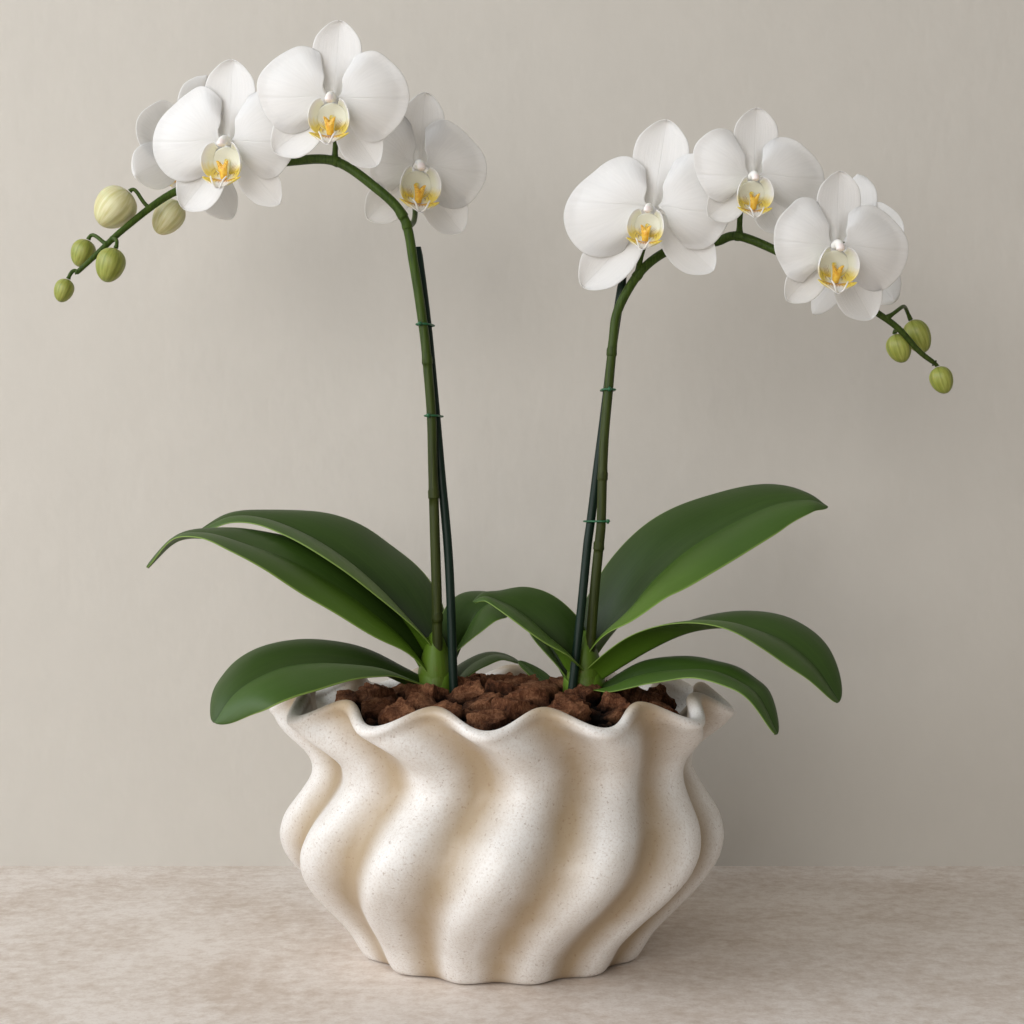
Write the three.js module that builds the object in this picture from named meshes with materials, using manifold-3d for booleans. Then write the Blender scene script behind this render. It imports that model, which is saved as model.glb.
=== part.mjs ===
// Potted moth orchid: two white-flowered plants in a fluted, ruffled ceramic pot filled with bark.
// Millimetres, +Z up. The origin is the middle of the pot's flat underside, and -Y is the front.

import * as THREE from "three";
import { mergeVertices } from "three/addons/utils/BufferGeometryUtils.js";
import Module from "manifold-3d";

const wasm = await Module();
wasm.setup();

// Driving dimensions

// Clear gap between pieces that touch on the real plant
const GAP = 0.4;

const POT = {
  lobes: 13,
  stepsPerLobe: 5,
  firstLobe: -3.5, // degrees from the front, at the rim
  rimHeight: 164,
  wall: 7,
  rimThickness: 10,
  floor: 10,
  // Height, mean outer radius, depth of the flutes and their turn in degrees against the rim
  outside: [
    [0, 86, 3.4, -12],
    [4, 90, 3.6, -12],
    [18, 97, 4.2, -11],
    [33, 110, 5.4, -8],
    [48, 124, 6.4, -4],
    [63, 134, 7, 0],
    [77, 137.5, 7, 3],
    [92, 134, 6.6, 6],
    [106, 125, 5.4, 9],
    [119, 118.5, 4.4, 12],
    [131, 120.5, 5.2, 12],
    [142, 129, 7, 9],
    [151, 137, 7.6, 5],
    [158, 141.5, 7.6, 0.5],
  ],
  rimWave: 6, // the outward lobes of the rim hang this far below its mean height
  waveStarts: 118,
};

const BARK = {
  edge: 147, // height at the wall
  dish: 8, // how far the bed under the mound sinks towards the middle
  mound: 16, // extra height in the middle
  moundRadius: 112,
  moundSides: 14,
  chips: 46,
  chipSize: [[9, 5], [8, 4], [6.5, 3.5]], // least half size and its spread, mm
  reach: 109, // furthest middle of a chip from the axis
};

const STAKE_RADIUS = 2.9;
const TIE_WIRE = 0.65;
const STEM_RADIUS = 3.3; // of a spike at its foot
const SPIKE_STEPS = 28;
const CUFF_LENGTH = 0.013; // of a bract's cuff, as a share of the spike's length
const CUFF_HEIGHT = 0.5;
const FLOWER_STALK_RADIUS = 1.7;
const BUD_STALK_RADIUS = 1.2;

// Each stem is a chain of centre points, from the crown to the tip, with its radius along the way
const LEFT_SPIKE = {
  points: [
    [-41.2, -9, 158], [-41.5, -10, 194], [-41.8, -12, 226], [-43, -12, 265], [-44.4, -11, 310],
    [-45.4, -10, 345], [-48.3, -9.5, 381], [-50.9, -9, 404], [-56.7, -10, 442], [-63.5, -13, 473],
    [-84, -14, 493.6], [-108.4, -8, 509.7], [-136.9, 2, 511.8], [-165.6, 10, 509], [-192.6, 14, 501.9],
    [-218.8, 10, 491.2], [-245.3, 0, 467.8], [-263.6, -5, 448.8], [-275.5, -7, 437],
  ],
  radii: [STEM_RADIUS, STEM_RADIUS, 3.1, 3.1, 3.1, 3.1, 3, 2.2, 1.5],
  cuffs: [0.09, 0.2, 0.33, 0.5],
};
const RIGHT_SPIKE = {
  points: [
    [55.9, -6, 158], [56.2, -6.5, 182], [57.4, -7.5, 200], [59.2, -9, 226], [61.6, -10, 252],
    [63.3, -10.8, 268], [64, -11.2, 278], [64.9, -11, 310], [66.4, -9.5, 336], [68.9, -8.2, 362.5],
    [71.8, -7.5, 394], [75.1, -6.5, 413.7], [88.6, -4, 437.4], [105, 0, 451.5], [122.7, 3, 457.9],
    [138.9, 0, 458.7], [152.4, -6, 461.6], [176, -14, 450.9], [195.6, -26, 436.6], [217, -36, 420],
    [247.9, -30, 401.5], [265, -24, 385.6], [276, -20.5, 378],
  ],
  radii: [STEM_RADIUS, STEM_RADIUS, 3.1, 3, 3, 3, 2.9, 2.2, 1.5],
  cuffs: [0.08, 0.2, 0.31, 0.44],
};
const LEFT_STAKE = [
  [-26, -21, 70], [-30, -17, 150], [-31, -15.5, 172], [-34.1, -10.5, 250], [-39.6, -5.8, 310],
  [-42.8, -3, 345], [-48.6, -2.2, 405], [-55, -1.5, 455],
];
const RIGHT_STAKE = [
  [31, -23, 70], [43.9, -18, 161], [47.2, -16, 188], [50.3, -13, 214], [52.9, -10.5, 239],
  [55.3, -7.6, 262], [57.6, -5.8, 278], [61.7, -4, 310], [65.2, -2.7, 336], [68.6, -1.2, 363],
  [72.5, -0.3, 395], [78.9, 1.5, 436],
];
// Heights of the ties
const LEFT_TIES = [345, 404];
const RIGHT_TIES = [277, 362];

// Leaves. Midrib from base to tip; half width, and lift in degrees of the half behind and the half in
// front, each at equal steps from base to tip.
const LEAVES = {
  left_leaf_upper: {
    midrib: [
      [-43, 2, 181], [-58, 7, 201], [-74, 14, 221], [-92, 20, 238], [-111, 24, 253], [-134, 28, 267],
      [-159, 30, 277], [-181, 29, 279], [-200, 26, 271],
    ],
    width: [11, 27, 37, 43, 43, 35, 24, 15, 4],
    behind: [56, 43, 30, 32, 14, 12],
    front: [50, 20, 9, 0, -9, -22],
  },
  left_leaf_middle: {
    midrib: [
      [-47, -2, 171], [-62, -6, 197], [-81, -12, 215], [-105, -15, 233], [-137, -16, 251], [-168, -14, 261],
      [-190, -13, 266], [-210, -10, 264], [-229, -8, 247],
    ],
    width: [11, 16, 22, 27, 34, 37, 28, 16, 4],
    behind: [45, 36, 33, 17, 12, 28],
    front: [10, -28, -26, -4, 2, -14],
  },
  left_leaf_lower: {
    midrib: [
      [-46, -8, 165], [-62, -18, 173], [-79, -30, 182], [-93, -42, 186], [-112, -57, 189], [-131, -72, 188],
      [-147, -86, 182], [-159, -95, 173], [-168, -102, 159],
    ],
    width: [10, 15, 21, 27, 32, 34, 31, 22, 2.6],
    behind: [57, 43, 32, 19, 7, 6],
    front: [20, -1, -10, -19, -21, -39],
  },
  left_leaf_arching: {
    midrib: [
      [-36, 6, 170], [-32, 9, 181], [-28, 12, 192], [-23, 15, 204], [-15, 18, 217], [-4, 22, 223],
      [7, 24, 223], [19, 26, 217],
    ],
    width: [11, 15, 18, 20, 22, 20, 14, 3],
    behind: [84, 88, 72, 36, 6, -16],
    front: [60, 42, 5, -21, -32, -38],
  },
  left_leaf_small: {
    midrib: [[-34, 12, 165], [-28, 22, 173], [-20, 34, 180], [-8, 44, 185], [2, 50, 184], [11, 54, 180]],
    width: [7, 10, 12, 12, 9, 2],
    behind: [30, 10, 0, 4, 12, 20],
    front: [41, 16, -1, -8, -15, -22],
  },
  right_leaf_upper: {
    midrib: [
      [56, 4, 181], [71, 9, 201], [86, 11, 219], [101, 15, 237], [122, 18, 256], [148, 20, 272],
      [178, 21, 286], [202, 18, 290], [215, 17, 286],
    ],
    width: [14, 32, 38, 40, 40, 36, 29, 17, 2.5],
    behind: [40, 38, 44, 43, 30, 1],
    front: [37, 9, -14, -28, -32, -25],
  },
  right_leaf_middle: {
    midrib: [
      [55, -4, 168], [72, -10, 180], [95, -19, 195], [117, -27, 206], [138, -33, 210], [157, -38, 208],
      [176, -43, 201], [193, -48, 187], [208, -52, 165],
    ],
    width: [11, 17, 24, 29, 33, 34, 29, 22, 3],
    behind: [40, 20, 12, 17, 32, 44],
    front: [50, 37, 14, -1, -16, -10],
  },
  right_leaf_lower: {
    midrib: [
      [62, -12, 163], [72, -21, 170], [84, -33, 178], [100, -46, 183], [115, -60, 185], [130, -72, 185],
      [143, -82, 180], [153, -89, 172], [163, -94, 151],
    ],
    width: [9, 14, 19, 22, 25, 25, 21, 15, 2.8],
    behind: [56, 39, 22, 6, 4, 20],
    front: [34, -16, -15, -3, 2, 4],
  },
  right_leaf_arching: {
    midrib: [
      [49, -3, 174], [41, -5, 182], [35, -7, 192], [27, -9, 202], [18, -11, 212], [8, -13, 220],
      [-2, -14, 225], [-11, -15, 228], [-18, -16, 225],
    ],
    width: [10, 19, 26, 27, 26, 22, 15, 9, 2.5],
    behind: [80, 83, 77, 54, 25, 7],
    front: [30, 6, -12, -18, -16, -10],
  },
  right_leaf_inner: {
    midrib: [[44, 8, 166], [38, 10, 180], [29, 14, 195], [22, 18, 205], [15, 20, 212]],
    width: [6, 9, 10, 8, 2],
    behind: [60, 50, 40, 20],
    front: [40, 10, -10, -20],
  },
  right_leaf_thin: {
    midrib: [[42, 14, 163], [31, 24, 167], [22, 32, 174], [11, 40, 182]],
    width: [5, 6, 6, 2],
    behind: [50, 40, 30],
    front: [20, 0, -10],
  },
};
const LEAF_COLUMNS = [2, 4, 4, 4, 4, 4, 4, 4, 4, 2]; // at each row from base to tip
const LEAF_THICKNESS = 2;

// Blooms: the middle, the turn about Z, nod and roll in degrees, width over the petals, size of the lip and
// column against the petals, how far these stand to one side, the place on the spike (0 at its foot, 1 at its
// tip) that the flower stalk grows from, and which way the stalk first goes, as shares of its length. A petal
// spans the angles from low to high, with its reach at equal steps between them. A sepal is given by its
// angle, length and width; the uppermost comes first.
const UPWARDS = [0, 0, 0.38];
const DIRECT = [0, 0, 0];
const BLOOMS = {
  left: [
    {
      at: [-105, -48, 536.4], turn: -6, nod: 12, roll: 2, width: 95,
      lip: 1, aside: 0.7, from: 0.61, first: UPWARDS,
      petals: [
        { low: -50, high: 75, reach: [26, 40, 45, 49, 51, 47.5, 43, 39, 30] },
        { low: -62, high: 66, reach: [28, 38.5, 43, 47, 49, 47.5, 43.5, 40, 29] },
      ],
      sepals: [[87, 53.5, 33], [-55, 48, 29], [216, 52, 30]],
    },
    {
      at: [-177.2, -14, 517], turn: -14, nod: 12, roll: 3, width: 95,
      lip: 1.04, aside: 2.8, from: 0.735, first: UPWARDS,
      petals: [
        { low: -54, high: 84, reach: [26, 45, 53.5, 55, 52.5, 46, 43, 40.5, 28] },
        { low: -50, high: 67, reach: [32, 40, 43, 46, 46.5, 46, 45, 43.5, 33] },
      ],
      sepals: [[88, 58, 37], [-48, 50.5, 27], [227, 55.5, 33]],
    },
    {
      at: [-216, 48, 529], turn: -145, nod: 6, roll: 0, width: 88,
      lip: 1, aside: 0, from: 0.79, first: UPWARDS,
      petals: [
        { low: -55, high: 78, reach: [27, 39, 45, 49, 50, 47.5, 44, 40, 27] },
        { low: -50, high: 75, reach: [26, 34, 37, 39.5, 41, 40.5, 38, 36, 28] },
      ],
      sepals: [[105, 60, 34], [-32, 54, 36], [238, 62, 36]],
    },
    {
      at: [-54.8, 20, 508.4], turn: 18, nod: 11, roll: 2, width: 97,
      lip: 1.05, aside: -2.5, from: 0.49, first: [0.15, 0.85, 0.05],
      petals: [
        { low: -50, high: 80, reach: [24, 31, 33, 33, 38, 43, 44, 41, 28] },
        { low: -56, high: 86, reach: [30, 41, 45.5, 48, 47, 42, 39, 36, 26] },
      ],
      sepals: [[87, 54, 30], [-46, 52, 31], [228, 47, 28]],
    },
  ],
  right: [
    {
      at: [94.8, -30, 471.5], turn: -13, nod: 10, roll: 7, width: 107,
      lip: 0.8, aside: -1.2, from: 0.545, first: UPWARDS,
      petals: [
        { low: -62, high: 76, reach: [31, 46, 52.5, 53.5, 48.5, 41.5, 38, 33.5, 23] },
        { low: -48, high: 74, reach: [30, 39, 42.5, 44.5, 43, 41, 40, 39, 29] },
      ],
      sepals: [[88, 55, 33.5], [-38, 49, 27], [230, 61, 30]],
    },
    {
      at: [156.8, -54, 487], turn: 8, nod: 12, roll: 0, width: 84,
      lip: 1, aside: -3.8, from: 0.73, first: UPWARDS,
      petals: [
        { low: -44, high: 63, reach: [28, 34.5, 37.5, 41, 45, 49, 47.5, 44, 36] },
        { low: -47, high: 76, reach: [27, 45, 51.5, 53.5, 49, 43, 39, 33, 22] },
      ],
      sepals: [[89, 53, 34], [-52, 45, 30], [220, 41, 28]],
    },
    {
      at: [205.2, -66, 442.2], turn: 8, nod: 13, roll: 3, width: 85,
      lip: 1.1, aside: -3.4, from: 0.83, first: UPWARDS,
      petals: [
        { low: -56, high: 63, reach: [34, 40, 41, 44, 46, 47, 44.5, 42.5, 34] },
        { low: -58, high: 76, reach: [30, 47.5, 52.5, 54, 52, 46, 41, 35.5, 24] },
      ],
      sepals: [[92, 56, 33], [-53, 59, 35], [232, 49, 28]],
    },
    {
      at: [237.2, 26, 457.7], turn: 140, nod: 6, roll: 0, width: 84,
      lip: 1, aside: 0, from: 0.86, first: UPWARDS,
      petals: [
        { low: -50, high: 75, reach: [26, 34, 37, 39.5, 41, 40.5, 38, 36, 28] },
        { low: -50, high: 75, reach: [26, 34, 37, 39.5, 41, 40.5, 38, 36, 28] },
      ],
      sepals: [[93, 58, 34], [-58, 60, 26], [230, 61, 32]],
    },
  ],
};

// Buds: foot and tip of each, its largest radius, and its stalk as for the blooms
const BUDS = {
  left: [
    { foot: [-244, 6, 492.5], tip: [-263.2, 6, 471], radius: 13.2, from: 0.857, first: [-0.4, 0, 0.25] },
    { foot: [-215.2, 26, 489.5], tip: [-229.8, 24, 468.7], radius: 10, from: 0.78, first: DIRECT },
    { foot: [-270.4, 4, 460.6], tip: [-277.5, 5, 443.5], radius: 7.8, from: 0.92, first: [-0.4, 0, 0.3] },
    { foot: [-247, -18, 451.5], tip: [-253.8, -18, 430.2], radius: 9.2, from: 0.909, first: DIRECT },
    { foot: [-280.2, -8, 433.2], tip: [-285.4, -9, 418.6], radius: 6.2, from: 0.995, first: [-0.4, 0, 0.4] },
  ],
  right: [
    { foot: [265.1, -4, 407.1], tip: [274.5, -3, 386.5], radius: 8.4, from: 0.9, first: [0.4, 0, 0.25] },
    { foot: [251.2, -19, 396.6], tip: [257.2, -18, 378.7], radius: 7.7, from: 0.92, first: DIRECT },
    { foot: [278.1, -20, 375.6], tip: [283.9, -20, 358.8], radius: 7.2, from: 1, first: DIRECT },
  ],
};

// Colours and finishes
const FINISH = {
  glaze: [0xd9cdbc, 0.3],
  bark: [0x6a4130, 0.95],
  leaf: [0x2f5c28, 0.45],
  crown: [0x6f9a3a, 0.5],
  spike: [0x5a7a36, 0.5],
  stake: [0x1d3f33, 0.45],
  tie: [0x2c7a4a, 0.4],
  bud: [0x9fb548, 0.5],
  petal: [0xf6f4f0, 0.55],
  lip: [0xf3dc8a, 0.5],
  column: [0xf4e6ea, 0.5],
};

// Plain arithmetic

const radians = (degrees) => (degrees * Math.PI) / 180;
const vector = (place) => new THREE.Vector3(...place);
const clamp01 = (value) => Math.min(Math.max(value, 0), 1);

function smoothStep(low, high, value) {
  const t = clamp01((value - low) / (high - low));
  return t * t * (3 - 2 * t);
}

// The smooth curve through values set at equal steps from 0 to 1
const bell = (value, width) => Math.exp(-((value / width) ** 2));

function blend(values, t) {
  const last = values.length - 1;
  const place = clamp01(t) * last;
  const i = Math.min(Math.floor(place), last - 1);
  const f = place - i;
  const b = values[i];
  const c = values[i + 1];
  const a = i > 0 ? values[i - 1] : 2 * b - c;
  const d = i + 2 <= last ? values[i + 2] : 2 * c - b;
  return b + 0.5 * f * (c - a + f * (2 * a - 5 * b + 4 * c - d + f * (3 * (b - c) + d - a)));
}

function curvePoint(points, t) {
  return vector([0, 1, 2].map((axis) => blend(points.map((p) => p[axis]), t)));
}

function curveTangent(points, t, reach = 0.01) {
  const ahead = curvePoint(points, Math.min(t + reach, 1));
  return ahead.sub(curvePoint(points, Math.max(t - reach, 0))).normalize();
}

// A small repeatable draw of numbers from 0 to 1
function seededDraw(seed) {
  let state = seed;
  return () => {
    state = (state * 1664525 + 1013904223) % 4294967296;
    return state / 4294967296;
  };
}

// Solids

// A closed geometry as a solid, with its faces pointing out
function solidOf(geometry) {
  const bare = geometry.clone();
  for (const name of Object.keys(bare.attributes)) {
    if (name !== "position") bare.deleteAttribute(name);
  }
  const merged = mergeVertices(bare, 1e-3);
  const index = [];
  for (let i = 0; i < merged.index.count; i += 3) {
    const [a, b, c] = [0, 1, 2].map((k) => merged.index.getX(i + k));
    if (a !== b && b !== c && c !== a) index.push(a, b, c);
  }
  const build = (triangles) =>
    new wasm.Manifold(
      new wasm.Mesh({
        numProp: 3,
        vertProperties: new Float32Array(merged.attributes.position.array),
        triVerts: new Uint32Array(triangles),
      }),
    );
  const made = build(index);
  if (made.volume() > 0) return made;
  for (let i = 0; i < index.length; i += 3) [index[i + 1], index[i + 2]] = [index[i + 2], index[i + 1]];
  return build(index);
}

function geometryOf(solid) {
  const mesh = solid.getMesh();
  const places = new Float32Array(mesh.numVert * 3);
  for (let i = 0; i < mesh.numVert; i++) {
    for (let k = 0; k < 3; k++) places[i * 3 + k] = mesh.vertProperties[i * mesh.numProp + k];
  }
  return new THREE.BufferGeometry()
    .setAttribute("position", new THREE.BufferAttribute(places, 3))
    .setIndex(new THREE.BufferAttribute(mesh.triVerts, 1));
}

function largestBody(solid) {
  return solid.decompose().reduce((best, body) => (body.volume() > best.volume() ? body : best));
}

const joined = (solids) => solids.reduce((sum, solid) => sum.add(solid));
const cutBy = (solid, cutters) => largestBody(cutters.reduce((rest, cutter) => rest.subtract(cutter), solid));

function meshGeometry(points, triangles) {
  const geometry = new THREE.BufferGeometry().setFromPoints(points);
  return geometry.setIndex(triangles);
}

// A skin over rings of points, closed at both ends
function skin(rings) {
  const count = rings[0].length;
  const points = rings.flat();
  const triangles = [];
  for (let i = 0; i + 1 < rings.length; i++) {
    for (let k = 0; k < count; k++) {
      const a = i * count + k;
      const b = i * count + ((k + 1) % count);
      triangles.push(a, b, b + count, a, b + count, a + count);
    }
  }
  const middle = (ring) => ring.reduce((sum, p) => sum.add(p), new THREE.Vector3()).divideScalar(count);
  const top = (rings.length - 1) * count;
  points.push(middle(rings[0]), middle(rings[rings.length - 1]));
  for (let k = 0; k < count; k++) {
    const next = (k + 1) % count;
    triangles.push(next, k, points.length - 2, top + k, top + next, points.length - 1);
  }
  return solidOf(meshGeometry(points, triangles));
}

const evenStations = (steps, to = 1) => Array.from({ length: steps + 1 }, (_, i) => (to * i) / steps);

// A round stem along a chain of points, with a ring at each station, its radius given along the way
function stem(points, radiusAt, stations, sides, beside = [0, 1, 0]) {
  const rings = stations.map((t) => {
    const along = curveTangent(points, t);
    const across = vector(beside).cross(along).normalize();
    const over = along.clone().cross(across);
    const centre = curvePoint(points, t);
    return Array.from({ length: sides }, (_, k) => {
      const angle = (2 * Math.PI * (k + 0.5)) / sides;
      return centre
        .clone()
        .addScaledVector(across, radiusAt(t) * Math.cos(angle))
        .addScaledVector(over, radiusAt(t) * Math.sin(angle));
    });
  });
  return skin(rings);
}

// A blade of even thickness about the surface at(u, v), with u across from -1 to 1 and v along from 0 to 1.
// The counts are the columns at each row from root to tip. Both faces are split into the same triangles.
function blade(at, counts, thickness) {
  const last = counts.length - 1;
  const across = (count, j) => (2 * j) / count - 1;
  const step = 0.02;
  const starts = [];
  const face = [];
  const back = [];
  counts.forEach((count, i) => {
    starts.push(face.length);
    const v = i / last;
    for (let j = 0; j <= count; j++) {
      const u = across(count, j);
      const here = at(u, v);
      const alongBlade = at(u, Math.min(v + step, 1)).sub(at(u, Math.max(v - step, 0)));
      const acrossBlade = at(Math.min(u + step, 1), v).sub(at(Math.max(u - step, -1), v));
      const normal = acrossBlade.cross(alongBlade).normalize();
      const half = thickness(u, v) / 2;
      face.push(here.clone().addScaledVector(normal, half));
      back.push(here.clone().addScaledVector(normal, -half));
    }
  });
  const offset = face.length;
  const triangles = [];
  const addPair = (p, q, r) => triangles.push(p, q, r, offset + p, offset + r, offset + q);
  for (let i = 0; i < last; i++) {
    let [low, high] = [0, 0];
    while (low < counts[i] || high < counts[i + 1]) {
      const nextLow = across(counts[i], low + 1);
      const lead = nextLow - across(counts[i + 1], high + 1);
      const a = starts[i] + low;
      const b = starts[i + 1] + high;
      if (lead < -1e-6 || (lead < 1e-6 && nextLow > 1e-6)) {
        addPair(a, a + 1, b);
        low += 1;
      } else {
        addPair(a, b + 1, b);
        high += 1;
      }
    }
  }
  const rim = [];
  for (let j = 0; j < counts[0]; j++) rim.push(j);
  for (let i = 0; i < last; i++) rim.push(starts[i] + counts[i]);
  for (let j = counts[last]; j > 0; j--) rim.push(starts[last] + j);
  for (let i = last; i > 0; i--) rim.push(starts[i]);
  rim.forEach((p, i) => {
    const q = rim[(i + 1) % rim.length];
    triangles.push(q, p, offset + p, q, offset + p, offset + q);
  });
  return solidOf(meshGeometry([...face, ...back], triangles));
}

// Pot

// Value of one column of the table of the pot's outside at a height
function potValue(column, height) {
  const table = POT.outside;
  const above = table.findIndex((row) => row[0] >= height);
  if (above < 0) return table[table.length - 1][column];
  if (above === 0) return table[0][column];
  const [low, high] = [table[above - 1], table[above]];
  return low[column] + ((high[column] - low[column]) * (height - low[0])) / (high[0] - low[0]);
}

// Presses the flutes and the rim's waves into a point of the plain turned form
function fluted(point) {
  const radius = Math.hypot(point.x, point.y);
  const angle = Math.atan2(point.x, -point.y);
  const phase = POT.lobes * (angle - radians(POT.firstLobe + potValue(3, point.z)));
  const swell = Math.cos(phase);
  const share = smoothStep(30, 80, radius);
  const turned = radius + potValue(2, point.z) * swell * share;
  const lift = -POT.rimWave * smoothStep(POT.waveStarts, POT.rimHeight, point.z) * swell * share;
  return new THREE.Vector3(Math.sin(angle) * turned, -Math.cos(angle) * turned, point.z + lift);
}

// Turns a profile of [radius, height] points about Z and presses the flutes in
function flutedTurning(profile) {
  const turned = new THREE.LatheGeometry(
    profile.map(([r, z]) => new THREE.Vector2(r, z)),
    POT.lobes * POT.stepsPerLobe,
  ).rotateX(Math.PI / 2);
  const places = turned.getAttribute("position");
  const point = new THREE.Vector3();
  for (let i = 0; i < places.count; i++) {
    const moved = fluted(point.fromBufferAttribute(places, i));
    places.setXYZ(i, moved.x, moved.y, moved.z);
  }
  return solidOf(turned);
}

const INNER_HEIGHTS = [152, 147, 131, 119, 63, 18];
const innerRadius = (z) => potValue(1, z) - POT.wall;

function makePot() {
  const outside = POT.outside.map(([z, r]) => [r, z]);
  const rim = potValue(1, POT.rimHeight);
  const lip = [
    [rim + 1.5, POT.rimHeight - 2.5],
    [rim - POT.rimThickness / 2 + 1.5, POT.rimHeight + 2],
    [rim - POT.rimThickness + 1.5, POT.rimHeight - 2.5],
  ];
  const inside = INNER_HEIGHTS.map((z) => [innerRadius(z), z]);
  const floor = [[innerRadius(18) - 4, POT.floor], [0, POT.floor]];
  return flutedTurning([[0, 0], ...outside, ...lip, ...inside, ...floor]);
}

// Bark

// A blocky chip with uneven corners, turned about Z and tipped a little
function barkChip(draw, place, size, turn) {
  const box = new THREE.BoxGeometry(2, 2, 2);
  box.deleteAttribute("normal");
  box.deleteAttribute("uv");
  const chip = mergeVertices(box, 1e-3);
  const places = chip.getAttribute("position");
  for (let i = 0; i < places.count; i++) {
    const pull = [0, 1, 2].map(() => 0.65 + 0.35 * draw());
    places.setXYZ(i, places.getX(i) * pull[0], places.getY(i) * pull[1], places.getZ(i) * pull[2]);
  }
  chip.scale(...size);
  chip.rotateX(0.9 * (draw() - 0.5));
  chip.rotateY(0.9 * (draw() - 0.5));
  chip.rotateZ(turn);
  chip.translate(...place);
  return solidOf(chip);
}

function barkTop(radius) {
  return BARK.edge + BARK.mound * (1 - (radius / innerRadius(BARK.edge)) ** 2);
}

// The coarse dome that the chips are set in
function barkMound() {
  const rings = [BARK.moundRadius, 0.55 * BARK.moundRadius].map((r) => new THREE.Vector2(r, barkTop(r)));
  const foot = BARK.edge - BARK.dish - 2;
  const profile = [new THREE.Vector2(0, foot), new THREE.Vector2(BARK.moundRadius, foot + 6)];
  profile.push(...rings, new THREE.Vector2(0, barkTop(0)));
  return solidOf(new THREE.LatheGeometry(profile, BARK.moundSides).rotateX(Math.PI / 2));
}

function makeBark(holes) {
  const draw = seededDraw(23);
  const sides = INNER_HEIGHTS.filter((z) => z <= BARK.edge).map((z) => [innerRadius(z) - GAP, z]);
  const floor = POT.floor + GAP;
  const foot = [[innerRadius(18) - 5, floor], [0, floor]];
  const bed = flutedTurning([[0, BARK.edge - BARK.dish], ...sides, ...foot]);
  const goldenAngle = Math.PI * (3 - Math.sqrt(5));
  const chips = [];
  for (let i = 0; i < BARK.chips; i++) {
    const size = BARK.chipSize.map(([least, spread]) => least + spread * draw());
    const radius = BARK.reach * Math.sqrt((i + 0.6) / BARK.chips);
    const angle = i * goldenAngle;
    const place = [radius * Math.sin(angle), -radius * Math.cos(angle), barkTop(radius) + 1 + 3 * draw()];
    chips.push(barkChip(draw, place, size, angle + 1.2 * (draw() - 0.5)));
  }
  return cutBy(joined([bed, barkMound(), ...chips]), holes);
}

// Crowns, stakes, ties

// Short upright stem, as rings of [height, half length, half depth]
const CROWN_RINGS = [
  [130, 9, 8],
  [150, 10.5, 12],
  [166, 12, 15],
  [180, 11.5, 15.5],
  [192, 8.5, 13.5],
  [201, 5, 10],
  [206, 3, 7],
];

function makeCrown(x, y, grow = 0) {
  const sides = 8;
  return skin(
    CROWN_RINGS.map(([height, halfLength, halfDepth], i) => {
      const end = i === 0 ? -grow : i === CROWN_RINGS.length - 1 ? grow : 0;
      return Array.from({ length: sides }, (_, k) => {
        const angle = (2 * Math.PI * k) / sides;
        return new THREE.Vector3(
          x + (halfLength + grow) * Math.cos(angle),
          y + (halfDepth + grow) * Math.sin(angle),
          height + end,
        );
      });
    }),
  );
}

const makeStake = (points, grow = 0) => stem(points, () => STAKE_RADIUS + grow, evenStations(10), 6);

function atHeight(points, height) {
  let low = 0;
  let high = 1;
  for (let i = 0; i < 30; i++) {
    const middle = (low + high) / 2;
    if (curvePoint(points, middle).z < height) low = middle;
    else high = middle;
  }
  return curvePoint(points, low);
}

// A wire ring round a stem and its stake, with its twisted end as a small knob
function makeTie(spike, stake, height) {
  const a = atHeight(spike.points, height);
  const b = atHeight(stake, height);
  const centre = a.clone().add(b).divideScalar(2);
  const apart = b.clone().sub(a);
  const along = apart.clone().normalize();
  const reach = STEM_RADIUS + TIE_WIRE + GAP;
  const ring = new THREE.TorusGeometry(reach, TIE_WIRE, 3, 10);
  const places = ring.getAttribute("position");
  for (let i = 0; i < places.count; i++) {
    const shift = (Math.sign(Math.round(places.getX(i) * 1e4)) * apart.length()) / 2;
    places.setX(i, places.getX(i) + shift);
  }
  ring.rotateZ(Math.atan2(along.y, along.x)).translate(centre.x, centre.y, centre.z);
  const end = a.clone().addScaledVector(along, -(reach + 0.9));
  const knob = new THREE.OctahedronGeometry(1.6, 0).translate(end.x, end.y, end.z);
  return largestBody(solidOf(ring).add(solidOf(knob)));
}

// Leaves

function leafSurface(leaf) {
  const root = vector(leaf.midrib[0]);
  const tip = vector(leaf.midrib[leaf.midrib.length - 1]);
  const side = Math.sign(tip.x - root.x);
  return (u, v, grow = 0) => {
    const along = curveTangent(leaf.midrib, v, 0.03);
    const middle = curvePoint(leaf.midrib, v).addScaledVector(along, v === 0 ? -grow : 0);
    const heading = curveTangent(leaf.midrib, v, 0.2).setZ(0).normalize();
    const rear = new THREE.Vector3(-heading.y * side, heading.x * side, 0);
    rear.addScaledVector(along, -rear.dot(along)).normalize();
    const up = along.clone().cross(rear).multiplyScalar(side);
    const share = Math.abs(u);
    const lift = radians(blend(u < 0 ? leaf.behind : leaf.front, v));
    const reach = (blend(leaf.width, v) + grow) * share;
    const bow = 0.1 * blend(leaf.width, v) * 4 * share * (1 - share);
    return middle
      .addScaledVector(rear, (u < 0 ? 1 : -1) * (reach * Math.cos(lift) - bow * Math.sin(lift)))
      .addScaledVector(up, reach * Math.sin(lift) + bow * Math.cos(lift));
  };
}

function makeLeaf(leaf, grow = 0) {
  const surface = leafSurface(leaf);
  const thickness = (u) => LEAF_THICKNESS - 0.9 * u * u + 2 * grow;
  return blade((u, v) => surface(u, v, grow), LEAF_COLUMNS, thickness);
}

// Flower stalks and spikes

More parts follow.
